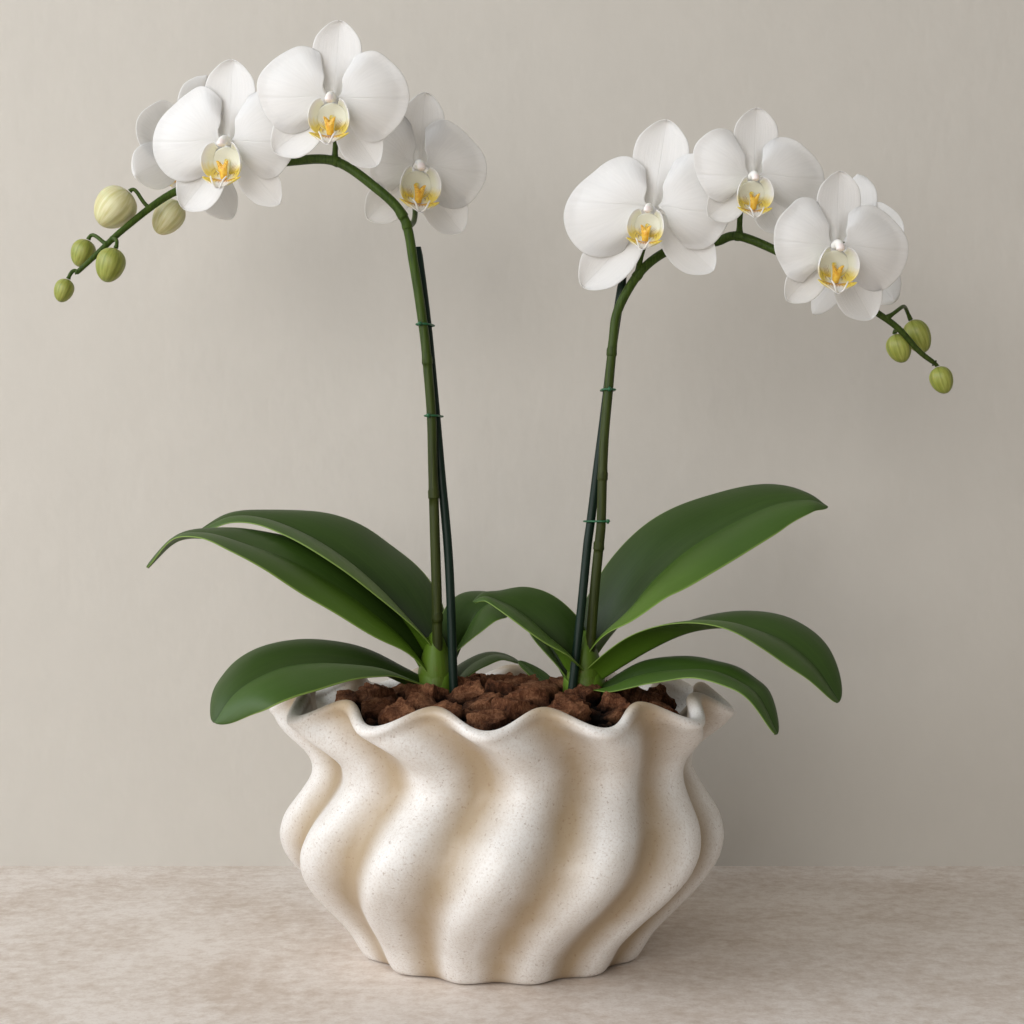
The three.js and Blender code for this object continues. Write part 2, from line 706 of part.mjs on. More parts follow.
// A stalk that leaves the spike and turns into the back of a flower or the foot of a bud
function makeStalk(spike, { from, first }, end, arrival, radius) {
  const root = curvePoint(spike.points, from);
  const length = root.distanceTo(end);
  const departure = root.clone().addScaledVector(vector(first), length);
  const approach = end.clone().addScaledVector(arrival, -0.4 * length);
  const bend = new THREE.CubicBezierCurve3(root, departure, approach, end);
  const points = bend.getPoints(8).map((p) => p.toArray());
  return stem(points, (t) => radius * (1.1 - 0.1 * t), evenStations(5), 4);
}

// The stem's radius, with the thicker end of a bract's cuff at each node
function spikeRadius(spike, t) {
  const cuff = spike.cuffs.find((start) => t >= start - 1e-6 && t < start + CUFF_LENGTH);
  const extra = cuff === undefined ? 0 : CUFF_HEIGHT * (1 - (t - cuff) / CUFF_LENGTH);
  return blend(spike.radii, t) + extra;
}

function makeSpike(spike, stalks) {
  const cuffEnds = spike.cuffs.flatMap((t) => [t - CUFF_LENGTH / 10, t, t + CUFF_LENGTH]);
  const clearOfCuffs = (t) => cuffEnds.every((end) => Math.abs(end - t) > CUFF_LENGTH);
  const stations = [...evenStations(SPIKE_STEPS).filter(clearOfCuffs), ...cuffEnds].sort((a, b) => a - b);
  const main = stem(spike.points, (t) => spikeRadius(spike, t), stations, 6);
  return largestBody(joined([main, ...stalks]));
}

// Buds

const BUD_ROUNDNESS = 2.1; // 2 is an ellipse, more is blunter
const BUD_TAPER = 0.3; // how much narrower it is at the tip than at the foot
const BUD_STATIONS = [0.01, 0.1, 0.3, 0.52, 0.74, 0.92, 0.995];

function budOutline(t) {
  return Math.sqrt(1 - Math.abs(2 * t - 1) ** BUD_ROUNDNESS) * (1 + BUD_TAPER * (0.5 - t));
}

function makeBud(bud) {
  const foot = vector(bud.foot);
  const tip = vector(bud.tip);
  const along = tip.clone().sub(foot);
  const across = new THREE.Vector3(0, 1, 0).cross(along).normalize();
  const over = along.clone().normalize().cross(across);
  const sides = 8;
  const rings = BUD_STATIONS.map((t) => {
    const centre = foot.clone().addScaledVector(along, t);
    return Array.from({ length: sides }, (_, k) => {
      const angle = (2 * Math.PI * k) / sides;
      const radius = bud.radius * budOutline(t) * (1 + 0.04 * Math.cos(3 * angle));
      return centre
        .clone()
        .addScaledVector(across, radius * Math.cos(angle))
        .addScaledVector(over, radius * Math.sin(angle));
    });
  });
  return skin(rings);
}

// Blooms. Each is made about its own column: X to its left as seen, Z up, facing -Y, for a width of 100.

const PETAL_CLAW = [1.2, 1, 3.8];
const SEPAL_DEEP = [7.5, 6.5, 6.5];
const SEPAL_OUTLINE = [0.2, 0.46, 0.8, 0.98, 1, 0.8, 0.1];
const PETAL_THICKNESS = 0.9;
const HEART = { middle: [0, 4, 0], half: [7, 5, 7] };

function petalSurface(side, { low, high, reach }) {
  const middle = (low + high) / 2;
  const half = (high - low) / 2;
  return (u, v) => {
    const degrees = middle + u * half * (0.3 + 0.7 * smoothStep(0, 0.45, v));
    const angle = radians(degrees);
    const distance = (0.06 + 0.94 * v) * blend(reach, (u + 1) / 2);
    const bowl = 5 * v * v - 3 * Math.sin(Math.PI * Math.min(v * 1.15, 1));
    const ridge = 2 * v * (1 - 0.6 * v) * bell(degrees - 8, 26);
    return new THREE.Vector3(
      side * (PETAL_CLAW[0] + distance * Math.cos(angle)),
      PETAL_CLAW[1] + bowl + 1.6 * u * u * v - ridge,
      PETAL_CLAW[2] + distance * Math.sin(angle),
    );
  };
}

function sepalSurface([degrees, length, width], deep, upright) {
  const angle = radians(degrees);
  return (u, v) => {
    const half = (width / 2) * blend(SEPAL_OUTLINE, v);
    const along = 1 + (length - 1) * v;
    const across = u * half;
    const fold = 1 - Math.abs(u);
    const crest = 3.4 * bell(u, 0.34) * (1 - smoothStep(0.15, 0.62, v));
    const relief = upright ? 1.6 * fold * v - crest : 2.6 * fold * Math.sin(Math.PI * v ** 1.3);
    return new THREE.Vector3(
      along * Math.cos(angle) - across * Math.sin(angle),
      deep + 4 * v * v - 2.4 * u * u * v + relief,
      along * Math.sin(angle) + across * Math.cos(angle),
    );
  };
}

function makePerianth({ petals, sepals }) {
  const even = () => PETAL_THICKNESS;
  const blades = [-1, 1].map((side, i) => blade(petalSurface(side, petals[i]), [1, 6, 6, 6], even));
  sepals.forEach((sepal, i) => {
    blades.push(blade(sepalSurface(sepal, SEPAL_DEEP[i], i === 0), [1, 2, 2, 2, 2], even));
  });
  const heart = solidOf(new THREE.OctahedronGeometry(1, 0).scale(...HEART.half).translate(...HEART.middle));
  return largestBody(joined([heart, ...blades]));
}

// Column: a short club that leans out and down over the lip, ending in its rounded cap
const COLUMN_POINTS = [[0, -1.6, 3.2], [0, -6, 5.2], [0, -10, 4.8], [0, -13.4, 2.4], [0, -14.4, 0.8]];
const COLUMN_RADII = [2.7, 2.5, 2.7, 2.9, 2.5];

function makeColumn(grow = 0) {
  return stem(COLUMN_POINTS, (t) => blend(COLUMN_RADII, t) + grow, evenStations(3), 6, [0, 0, 1]);
}

// Lip: a cup of two side lobes that curve up round the column like hands, a boat-shaped middle lobe below
// that ends in two curling tendrils, a horned callus in the cup, and the claw behind it. The cup is one band
// from the tip of a side lobe, under the column, to the tip of the other.
const CUP_MIDDLE = -9; // height of the middle of the cup
const CUP_HALF = [[5.6, -10, 2.2], [9, -10.5, 0], [11.8, -10.5, -6], [11.6, -10, -13], [7.6, -9.5, -18]];
const CUP_BAND = [
  ...CUP_HALF.map(([x, y, z]) => [-x, y, z]),
  [0, -9, -19.4],
  ...CUP_HALF.toReversed(),
];
const CUP_DEPTH = [1.6, 4.2, 5.6, 5.4, 3.4, 2.2, 3.4, 5.4, 5.6, 4.2, 1.6];
const CUP_COLUMNS = [1, 2, 2, 2, 2, 2, 2, 2, 1];
const MIDDLE_LOBE_HALF = [2, 9, 13.4, 12, 6.5, 2];
const TENDRIL = [[0.8, -20, -25.4], [2.6, -22, -23.4], [4.2, -21.5, -20], [5.6, -19.6, -18]];
const CLAW = [[0, -10, -20], [0, -7.5, -14], [0, -4.4, -8]];
const CALLUS_FOOT = [-10.6, -20]; // Y and Z
const CALLUS_TOP = [-13, -8.2];
const CALLUS_HALF = [1.9, 2, 2.5, 3.3, 4.2];
const THROAT_HALF = [9.9, 9];
const THROAT_MIDDLE = [-3.6, -8.6];

function cupSurface(u, v) {
  const middle = curvePoint(CUP_BAND, v);
  const flare = 1 + 0.17 * u - 0.05 * u * u;
  return new THREE.Vector3(
    middle.x * flare,
    middle.y - blend(CUP_DEPTH, v) * u,
    CUP_MIDDLE + (middle.z - CUP_MIDDLE) * flare,
  );
}

function middleLobeSurface(u, v) {
  const half = blend(MIDDLE_LOBE_HALF, v);
  const raised = 5 * u * u * Math.sin(Math.PI * v);
  return new THREE.Vector3(u * half, -10.6 - 10.4 * v, -20.8 - 5.2 * v + raised);
}

// The hollow back of the cup, an oval
function throatSurface(u, v) {
  const w = 2 * v - 1;
  const x = u * Math.sqrt(1 - (w * w) / 2);
  const z = w * Math.sqrt(1 - (u * u) / 2);
  return new THREE.Vector3(
    THROAT_HALF[0] * x,
    THROAT_MIDDLE[0] - 1.6 * (x * x + z * z),
    THROAT_MIDDLE[1] + THROAT_HALF[1] * z,
  );
}

// The raised callus: narrow below, with a notch between two blunt horns above
function callusSurface(u, v) {
  const swell = 1.4 * (1 - u * u) * Math.sin(Math.PI * clamp01(v + 0.15));
  return new THREE.Vector3(
    u * blend(CALLUS_HALF, v),
    CALLUS_FOOT[0] + (CALLUS_TOP[0] - CALLUS_FOOT[0]) * v - swell,
    CALLUS_FOOT[1] + (CALLUS_TOP[1] - CALLUS_FOOT[1]) * v - 3.4 * v ** 3 * bell(u, 0.42),
  );
}

function makeLip() {
  const cup = blade(cupSurface, CUP_COLUMNS, () => 0.9);
  const throat = blade(throatSurface, [2, 2, 2], () => 0.8);
  const callus = blade(callusSurface, [2, 2, 2], () => 2.4);
  const middleLobe = blade(middleLobeSurface, [1, 4, 4, 1], () => 1);
  const claw = stem(CLAW, (t) => 2.6 - 0.8 * t, evenStations(2), 4);
  const tendrils = [-1, 1].map((side) => {
    const points = TENDRIL.map(([x, y, z]) => [side * x, y, z]);
    return stem(points, () => 0.7, evenStations(3), 3);
  });
  return largestBody(joined([claw, cup, throat, callus, middleLobe, ...tendrils]));
}

// Places a solid made for a flower 100 wide on the plant
function flowerMatrix(bloom, share = 1, aside = 0) {
  const turn = new THREE.Euler(radians(bloom.nod), radians(bloom.roll), radians(bloom.turn), "ZXY");
  const size = bloom.width / 100;
  const placed = new THREE.Matrix4().compose(
    vector(bloom.at),
    new THREE.Quaternion().setFromEuler(turn),
    new THREE.Vector3(size, size, size),
  );
  placed.multiply(new THREE.Matrix4().makeTranslation(aside, 0, 0));
  return placed.multiply(new THREE.Matrix4().makeScale(share, share, share));
}

// The back of a bloom, where its stalk meets it, and the way the stalk points there
function stalkEnd(bloom) {
  const matrix = flowerMatrix(bloom);
  const back = HEART.middle[1] + HEART.half[1];
  const end = new THREE.Vector3(0, back + GAP, 0).applyMatrix4(matrix);
  const out = new THREE.Vector3(0, back + 10, 0).applyMatrix4(matrix);
  return { end, arrival: end.clone().sub(out).normalize() };
}

// The whole plant

const model = new THREE.Group();

function addPiece(name, solid, [colour, roughness], matrix = null) {
  const material = new THREE.MeshStandardMaterial({ color: colour, roughness, metalness: 0 });
  const mesh = new THREE.Mesh(geometryOf(solid), material);
  mesh.name = name;
  if (matrix) mesh.applyMatrix4(matrix);
  model.add(mesh);
}

const CROWNS = { left: [-43, -1], right: [54, 1] };
const SPIKES = { left: LEFT_SPIKE, right: RIGHT_SPIKE };
const STAKES = { left: LEFT_STAKE, right: RIGHT_STAKE };
const TIES = { left: LEFT_TIES, right: RIGHT_TIES };

addPiece("pot", makePot(), FINISH.glaze);

const grownStakes = [];
const grownSpikes = [];
const grownCrowns = [];
for (const side of ["left", "right"]) {
  const spike = SPIKES[side];
  const stake = STAKES[side];
  const flowerStalks = BLOOMS[side].map((bloom) => {
    const { end, arrival } = stalkEnd(bloom);
    return makeStalk(spike, bloom, end, arrival, FLOWER_STALK_RADIUS);
  });
  const budStalks = BUDS[side].map((bud) => {
    const foot = vector(bud.foot);
    const arrival = vector(bud.tip).sub(foot).normalize();
    return makeStalk(spike, bud, foot.addScaledVector(arrival, -1.6 * GAP), arrival, BUD_STALK_RADIUS);
  });
  addPiece(side + "_spike", makeSpike(spike, [...flowerStalks, ...budStalks]), FINISH.spike);
  addPiece(side + "_stake", makeStake(stake), FINISH.stake);
  TIES[side].forEach((height, i) => {
    addPiece(side + "_tie_" + (i + 1), makeTie(spike, stake, height), FINISH.tie);
  });
  grownStakes.push(makeStake(stake, GAP));
  const clearRadius = (t) => blend(spike.radii, t) + GAP + CUFF_HEIGHT;
  grownSpikes.push(stem(spike.points, clearRadius, evenStations(13, 0.3), 8));
  const [x, y] = CROWNS[side];
  const crown = cutBy(makeCrown(x, y), [grownStakes.at(-1), grownSpikes.at(-1)]);
  addPiece(side + "_crown", crown, FINISH.crown);
  grownCrowns.push(makeCrown(x, y, GAP));
}

const cutters = [...grownStakes, ...grownSpikes, ...grownCrowns];
for (const [name, leaf] of Object.entries(LEAVES)) {
  addPiece(name, cutBy(makeLeaf(leaf), cutters), FINISH.leaf);
  cutters.push(makeLeaf(leaf, GAP));
}

addPiece("bark_bed", makeBark([...cutters, ...grownSpikes]), FINISH.bark);

const columnSolid = makeColumn();
const lipSolid = cutBy(makeLip(), [makeColumn(GAP)]);
for (const side of ["left", "right"]) {
  BLOOMS[side].forEach((bloom, i) => {
    const inner = flowerMatrix(bloom, bloom.lip, bloom.aside);
    const name = side + "_bloom_" + (i + 1);
    addPiece(name + "_petals", makePerianth(bloom), FINISH.petal, flowerMatrix(bloom));
    addPiece(name + "_lip", lipSolid, FINISH.lip, inner);
    addPiece(name + "_column", columnSolid, FINISH.column, inner);
  });
  BUDS[side].forEach((bud, i) => addPiece(side + "_bud_" + (i + 1), makeBud(bud), FINISH.bud));
}

export default model;
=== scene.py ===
import math

import bpy
from bpy.props import FloatProperty, FloatVectorProperty, IntProperty
from mathutils import Euler, Matrix, Vector, noise


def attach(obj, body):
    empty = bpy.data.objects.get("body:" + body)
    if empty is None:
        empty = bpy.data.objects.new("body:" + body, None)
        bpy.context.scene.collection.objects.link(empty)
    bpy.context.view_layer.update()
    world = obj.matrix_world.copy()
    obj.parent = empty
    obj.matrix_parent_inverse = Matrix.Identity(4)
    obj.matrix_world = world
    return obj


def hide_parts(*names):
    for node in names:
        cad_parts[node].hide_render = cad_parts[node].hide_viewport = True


bl_info = {
    "name": "Potted moth orchid",
    "version": (1, 0, 0),
    "blender": (4, 5, 0),
    "location": "3D View > Sidebar > Orchid",
    "description": "Dresses a solid model of two white moth orchids in a fluted pot",
    "category": "Object",
}

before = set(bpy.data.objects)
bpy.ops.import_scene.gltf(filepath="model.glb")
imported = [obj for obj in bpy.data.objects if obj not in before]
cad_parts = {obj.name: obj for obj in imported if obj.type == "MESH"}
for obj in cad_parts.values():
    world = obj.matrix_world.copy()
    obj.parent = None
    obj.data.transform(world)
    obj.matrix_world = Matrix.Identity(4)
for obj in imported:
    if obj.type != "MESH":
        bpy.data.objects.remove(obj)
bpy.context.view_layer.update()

MM = 0.001
SIDES = ("left", "right")

# Sizes of the plant and pot, in millimetres, as in the solid model
GAP = 0.4  # between pieces that would otherwise touch

POT = {
    "lobes": 13,
    "first_lobe": -3.5,
    "rim_height": 164,
    "wall": 7,
    "floor": 10,
    # Height, mean outer radius, depth of the flutes and their turn in degrees against the rim
    "outside": [
        (0, 86, 3.4, -12), (4, 90, 3.6, -12), (18, 97, 4.2, -11), (33, 110, 5.4, -8), (48, 124, 6.4, -4),
        (63, 134, 7, 0), (77, 137.5, 7, 3), (92, 134, 6.6, 6), (106, 125, 5.4, 9), (119, 118.5, 4.4, 12),
        (131, 120.5, 5.2, 12), (142, 129, 7, 9), (151, 137, 7.6, 5), (158, 141.5, 7.6, 0.5),
    ],
    # Radius and height along the underside to its rounded edge
    "foot": [(0, 0), (60, 0), (82, 0), (86, 0.7), (88.5, 2.5)],
    # How far the rolled rim stands out and its middle lies down, and half the roll's height
    "roll": (1.5, 2.5, 4.5),
    "rim_wave": 6,
    "wave_starts": 118,
}
RADIUS, FLUTE_DEPTH, FLUTE_TURN = 1, 2, 3

# The bed of fines between the chips: the height of its edge, the rise of its mound and how far the tops of
# the chips stand over it, its underside, and its clearance from the pot
BARK = {"edge": 147, "mound": 16, "sunk": 11, "floor": 11, "clearance": 1}
# Chips, set on a spiral: number, reach from the pot's axis, start of the spiral in steps and in radians,
# least size with its spread, least height over the mound with its spread, turn in radians with its middle,
# cuts along each edge, and seed
LARGE_CHIPS = dict(
    count=46, reach=109, first=0.6, start=0, size=[(9, 5), (8, 4), (6.5, 3.5)], height=(1, 3),
    turn=(1.2, 0.5), cuts=7, seed=23,
)
SMALL_CHIPS = dict(
    count=110, reach=114, first=0.5, start=0.7, size=[(4.5, 3), (4, 3), (3.5, 3)], height=(-3, 4),
    turn=(3, 0), cuts=3, seed=71,
)
GOLDEN_ANGLE = math.pi * (3 - math.sqrt(5))
STAKE_RADIUS = 2.9
TIE_WIRE = 0.65
STEM_RADIUS = 3.3
CUFF_LENGTH = 0.013  # as a share of the spike
CUFF_HEIGHT = 0.5
SPIKE_TIP = 0.006  # share of the spike over which its tip rounds off
FLOWER_STALK_RADIUS = 1.7
BUD_STALK_RADIUS = 1.2

SPIKES = {
    "left": {
        "points": [
            (-41.2, -9, 158), (-41.5, -10, 194), (-41.8, -12, 226), (-43, -12, 265), (-44.4, -11, 310),
            (-45.4, -10, 345), (-48.3, -9.5, 381), (-50.9, -9, 404), (-56.7, -10, 442), (-63.5, -13, 473),
            (-84, -14, 493.6), (-108.4, -8, 509.7), (-136.9, 2, 511.8), (-165.6, 10, 509),
            (-192.6, 14, 501.9), (-218.8, 10, 491.2), (-245.3, 0, 467.8), (-263.6, -5, 448.8),
            (-275.5, -7, 437),
        ],
        "radii": [STEM_RADIUS, STEM_RADIUS, 3.1, 3.1, 3.1, 3.1, 3, 2.2, 1.5],
        "cuffs": [0.09, 0.2, 0.33, 0.5],
    },
    "right": {
        "points": [
            (55.9, -6, 158), (56.2, -6.5, 182), (57.4, -7.5, 200), (59.2, -9, 226), (61.6, -10, 252),
            (63.3, -10.8, 268), (64, -11.2, 278), (64.9, -11, 310), (66.4, -9.5, 336), (68.9, -8.2, 362.5),
            (71.8, -7.5, 394), (75.1, -6.5, 413.7), (88.6, -4, 437.4), (105, 0, 451.5), (122.7, 3, 457.9),
            (138.9, 0, 458.7), (152.4, -6, 461.6), (176, -14, 450.9), (195.6, -26, 436.6),
            (217, -36, 420), (247.9, -30, 401.5), (265, -24, 385.6), (276, -20.5, 378),
        ],
        "radii": [STEM_RADIUS, STEM_RADIUS, 3.1, 3, 3, 3, 2.9, 2.2, 1.5],
        "cuffs": [0.08, 0.2, 0.31, 0.44],
    },
}
STAKES = {
    "left": [
        (-26, -21, 70), (-30, -17, 150), (-31, -15.5, 172), (-34.1, -10.5, 250), (-39.6, -5.8, 310),
        (-42.8, -3, 345), (-48.6, -2.2, 405), (-55, -1.5, 455),
    ],
    "right": [
        (31, -23, 70), (43.9, -18, 161), (47.2, -16, 188), (50.3, -13, 214), (52.9, -10.5, 239),
        (55.3, -7.6, 262), (57.6, -5.8, 278), (61.7, -4, 310), (65.2, -2.7, 336), (68.6, -1.2, 363),
        (72.5, -0.3, 395), (78.9, 1.5, 436),
    ],
}
TIES = {"left": [345, 404], "right": [277, 362]}
CROWNS = {"left": (-43, -1), "right": (54, 1)}
# Height, half length and half depth of a crown, from its foot up
CROWN_RINGS = [
    (130, 9, 8), (150, 10.5, 12), (166, 12, 15), (180, 11.5, 15.5), (192, 8.5, 13.5), (201, 5, 10),
    (206, 3, 7),
]
SHEATHS = 5

# Leaves. Midrib from base to tip; half width, and lift in degrees of the half behind and the half in
# front, each at equal steps from base to tip.
LEAVES = {
    "left_leaf_upper": {
        "midrib": [
            (-43, 2, 181), (-58, 7, 201), (-74, 14, 221), (-92, 20, 238), (-111, 24, 253), (-134, 28, 267),
            (-159, 30, 277), (-181, 29, 279), (-200, 26, 271),
        ],
        "width": [11, 27, 37, 43, 43, 35, 24, 15, 4],
        "behind": [56, 43, 30, 32, 14, 12],
        "front": [50, 20, 9, 0, -9, -22],
    },
    "left_leaf_middle": {
        "midrib": [
            (-47, -2, 171), (-62, -6, 197), (-81, -12, 215), (-105, -15, 233), (-137, -16, 251),
            (-168, -14, 261), (-190, -13, 266), (-210, -10, 264), (-229, -8, 247),
        ],
        "width": [11, 16, 22, 27, 34, 37, 28, 16, 4],
        "behind": [45, 36, 33, 17, 12, 28],
        "front": [10, -28, -26, -4, 2, -14],
    },
    "left_leaf_lower": {
        "midrib": [
            (-46, -8, 165), (-62, -18, 173), (-79, -30, 182), (-93, -42, 186), (-112, -57, 189),
            (-131, -72, 188), (-147, -86, 182), (-159, -95, 173), (-168, -102, 159),
        ],
        "width": [10, 15, 21, 27, 32, 34, 31, 22, 2.6],
        "behind": [57, 43, 32, 19, 7, 6],
        "front": [20, -1, -10, -19, -21, -39],
    },
    "left_leaf_arching": {
        "midrib": [
            (-36, 6, 170), (-32, 9, 181), (-28, 12, 192), (-23, 15, 204), (-15, 18, 217), (-4, 22, 223),
            (7, 24, 223), (19, 26, 217),
        ],
        "width": [11, 15, 18, 20, 22, 20, 14, 3],
        "behind": [84, 88, 72, 36, 6, -16],
        "front": [60, 42, 5, -21, -32, -38],
    },
    "left_leaf_small": {
        "midrib": [
            (-34, 12, 165), (-28, 22, 173), (-20, 34, 180), (-8, 44, 185), (2, 50, 184), (11, 54, 180),
        ],
        "width": [7, 10, 12, 12, 9, 2],
        "behind": [30, 10, 0, 4, 12, 20],
        "front": [41, 16, -1, -8, -15, -22],
    },
    "right_leaf_upper": {
        "midrib": [
            (56, 4, 181), (71, 9, 201), (86, 11, 219), (101, 15, 237), (122, 18, 256), (148, 20, 272),
            (178, 21, 286), (202, 18, 290), (215, 17, 286),
        ],
        "width": [14, 32, 38, 40, 40, 36, 29, 17, 2.5],
        "behind": [40, 38, 44, 43, 30, 1],
        "front": [37, 9, -14, -28, -32, -25],
    },
    "right_leaf_middle": {
        "midrib": [
            (55, -4, 168), (72, -10, 180), (95, -19, 195), (117, -27, 206), (138, -33, 210),
            (157, -38, 208), (176, -43, 201), (193, -48, 187), (208, -52, 165),
        ],
        "width": [11, 17, 24, 29, 33, 34, 29, 22, 3],
        "behind": [40, 20, 12, 17, 32, 44],
        "front": [50, 37, 14, -1, -16, -10],
    },
    "right_leaf_lower": {
        "midrib": [
            (62, -12, 163), (72, -21, 170), (84, -33, 178), (100, -46, 183), (115, -60, 185),
            (130, -72, 185), (143, -82, 180), (153, -89, 172), (163, -94, 151),
        ],
        "width": [9, 14, 19, 22, 25, 25, 21, 15, 2.8],
        "behind": [56, 39, 22, 6, 4, 20],
        "front": [34, -16, -15, -3, 2, 4],
    },
    "right_leaf_arching": {
        "midrib": [
            (49, -3, 174), (41, -5, 182), (35, -7, 192), (27, -9, 202), (18, -11, 212), (8, -13, 220),
            (-2, -14, 225), (-11, -15, 228), (-18, -16, 225),
        ],
        "width": [10, 19, 26, 27, 26, 22, 15, 9, 2.5],
        "behind": [80, 83, 77, 54, 25, 7],
        "front": [30, 6, -12, -18, -16, -10],
    },
    "right_leaf_inner": {
        "midrib": [(44, 8, 166), (38, 10, 180), (29, 14, 195), (22, 18, 205), (15, 20, 212)],
        "width": [6, 9, 10, 8, 2],
        "behind": [60, 50, 40, 20],
        "front": [40, 10, -10, -20],
    },
    "right_leaf_thin": {
        "midrib": [(42, 14, 163), (31, 24, 167), (22, 32, 174), (11, 40, 182)],
        "width": [5, 6, 6, 2],
        "behind": [50, 40, 30],
        "front": [20, 0, -10],
    },
}

# Leaves whose foot lies in shade: their upper face keeps only a faint pale base, as painted shade.
SHADED_FOOT_LEAVES = (
    "left_leaf_lower", "left_leaf_arching", "left_leaf_small", "right_leaf_lower", "right_leaf_inner",
    "right_leaf_thin",
)

# Blooms: the middle, the turn about Z, nod and roll in degrees, width over the petals, size of the lip and
# column against the petals, how far these stand to one side, the place on the spike that the flower stalk
# grows from, the two petals and three sepals, and which way the stalk first goes, as shares of its length.
# A petal is given by its lowest and highest angle and its reach at equal steps between them; a sepal by its
# angle, length and width.
UPWARDS = (0, 0, 0.38)
DIRECT = (0, 0, 0)


def bloom_of(at, turn, nod, roll, width, lip, aside, origin, petals, sepals, first=UPWARDS):
    return dict(
        at=at, turn=turn, nod=nod, roll=roll, width=width, lip=lip, aside=aside, origin=origin,
        petals=petals, sepals=sepals, first=first,
    )


BLOOMS = {
    "left": [
        bloom_of(
            (-105, -48, 536.4), -6, 12, 2, 95, 1, 0.7, 0.61,
            [
                (-50, 75, [26, 40, 45, 49, 51, 47.5, 43, 39, 30]),
                (-62, 66, [28, 38.5, 43, 47, 49, 47.5, 43.5, 40, 29]),
            ],
            [(87, 53.5, 33), (-55, 48, 29), (216, 52, 30)],
        ),
        bloom_of(
            (-177.2, -14, 517), -14, 12, 3, 95, 1.04, 2.8, 0.735,
            [
                (-54, 84, [26, 45, 53.5, 55, 52.5, 46, 43, 40.5, 28]),
                (-50, 67, [32, 40, 43, 46, 46.5, 46, 45, 43.5, 33]),
            ],
            [(88, 58, 37), (-48, 50.5, 27), (227, 55.5, 33)],
        ),
        bloom_of(
            (-216, 48, 529), -145, 6, 0, 88, 1, 0, 0.79,
            [
                (-55, 78, [27, 39, 45, 49, 50, 47.5, 44, 40, 27]),
                (-50, 75, [26, 34, 37, 39.5, 41, 40.5, 38, 36, 28]),
            ],
            [(105, 60, 34), (-32, 54, 36), (238, 62, 36)],
        ),
        bloom_of(
            (-54.8, 20, 508.4), 18, 11, 2, 97, 1.05, -2.5, 0.49,
            [
                (-50, 80, [24, 31, 33, 33, 38, 43, 44, 41, 28]),
                (-56, 86, [30, 41, 45.5, 48, 47, 42, 39, 36, 26]),
            ],
            [(87, 54, 30), (-46, 52, 31), (228, 47, 28)],
            (0.15, 0.85, 0.05),
        ),
    ],
    "right": [
        bloom_of(
            (94.8, -30, 471.5), -13, 10, 7, 107, 0.8, -1.2, 0.545,
            [
                (-62, 76, [31, 46, 52.5, 53.5, 48.5, 41.5, 38, 33.5, 23]),
                (-48, 74, [30, 39, 42.5, 44.5, 43, 41, 40, 39, 29]),
            ],
            [(88, 55, 33.5), (-38, 49, 27), (230, 61, 30)],
        ),
        bloom_of(
            (156.8, -54, 487), 8, 12, 0, 84, 1, -3.8, 0.73,
            [
                (-44, 63, [28, 34.5, 37.5, 41, 45, 49, 47.5, 44, 36]),
                (-47, 76, [27, 45, 51.5, 53.5, 49, 43, 39, 33, 22]),
            ],
            [(89, 53, 34), (-52, 45, 30), (220, 41, 28)],
        ),
        bloom_of(
            (205.2, -66, 442.2), 8, 13, 3, 85, 1.1, -3.4, 0.83,
            [
                (-56, 63, [34, 40, 41, 44, 46, 47, 44.5, 42.5, 34]),
                (-58, 76, [30, 47.5, 52.5, 54, 52, 46, 41, 35.5, 24]),
            ],
            [(92, 56, 33), (-53, 59, 35), (232, 49, 28)],
        ),
        bloom_of(
            (237.2, 26, 457.7), 140, 6, 0, 84, 1, 0, 0.86,
            [
                (-50, 75, [26, 34, 37, 39.5, 41, 40.5, 38, 36, 28]),
                (-50, 75, [26, 34, 37, 39.5, 41, 40.5, 38, 36, 28]),
            ],
            [(93, 58, 34), (-58, 60, 26), (230, 61, 32)],
        ),
    ],
}
# The two blooms that face away: the backs of their sepals are painted a darker greenish tan, as painted
# shade.
SHADED_SEPAL_BLOOMS = ("left_bloom_3", "right_bloom_4")


def bud_of(foot, tip, radius, origin, first=DIRECT):
    return dict(foot=foot, tip=tip, radius=radius, origin=origin, first=first)


BUDS = {
    "left": [
        bud_of((-244, 6, 492.5), (-263.2, 6, 471), 13.2, 0.857, (-0.4, 0, 0.25)),
        bud_of((-215.2, 26, 489.5), (-229.8, 24, 468.7), 10, 0.78),
        bud_of((-270.4, 4, 460.6), (-277.5, 5, 443.5), 7.8, 0.92, (-0.4, 0, 0.3)),
        bud_of((-247, -18, 451.5), (-253.8, -18, 430.2), 9.2, 0.909),
        bud_of((-280.2, -8, 433.2), (-285.4, -9, 418.6), 6.2, 0.995, (-0.4, 0, 0.4)),
    ],
    "right": [
        bud_of((265.1, -4, 407.1), (274.5, -3, 386.5), 8.4, 0.9, (0.4, 0, 0.25)),
        bud_of((251.2, -19, 396.6), (257.2, -18, 378.7), 7.7, 0.92),
        bud_of((278.1, -20, 375.6), (283.9, -20, 358.8), 7.2, 1),
    ],
}
PALE_BUDS = ("left_bud_1", "left_bud_2")
BUD_ROUNDNESS = 2.1
BUD_TAPER = 0.3

# Parts of a flower 100 wide: X to its left as seen, Z up, facing -Y
PETAL_CLAW = (1.2, 1, 3.8)
SEPAL_DEEP = (7.5, 6.5, 6.5)
SEPAL_OUTLINE = [0.2, 0.46, 0.8, 0.98, 1, 0.8, 0.1]
PETAL_THICKNESS = 0.9
HEART_MIDDLE = (0, 4, 0)
HEART_HALF = (7, 5, 7)
COLUMN_POINTS = [(0, -1.6, 3.2), (0, -6, 5.2), (0, -10, 4.8), (0, -13.4, 2.4), (0, -14.4, 0.8)]
COLUMN_RADII = [2.7, 2.5, 2.7, 2.9, 2.5]
COLUMN_ROUNDING = 0.22
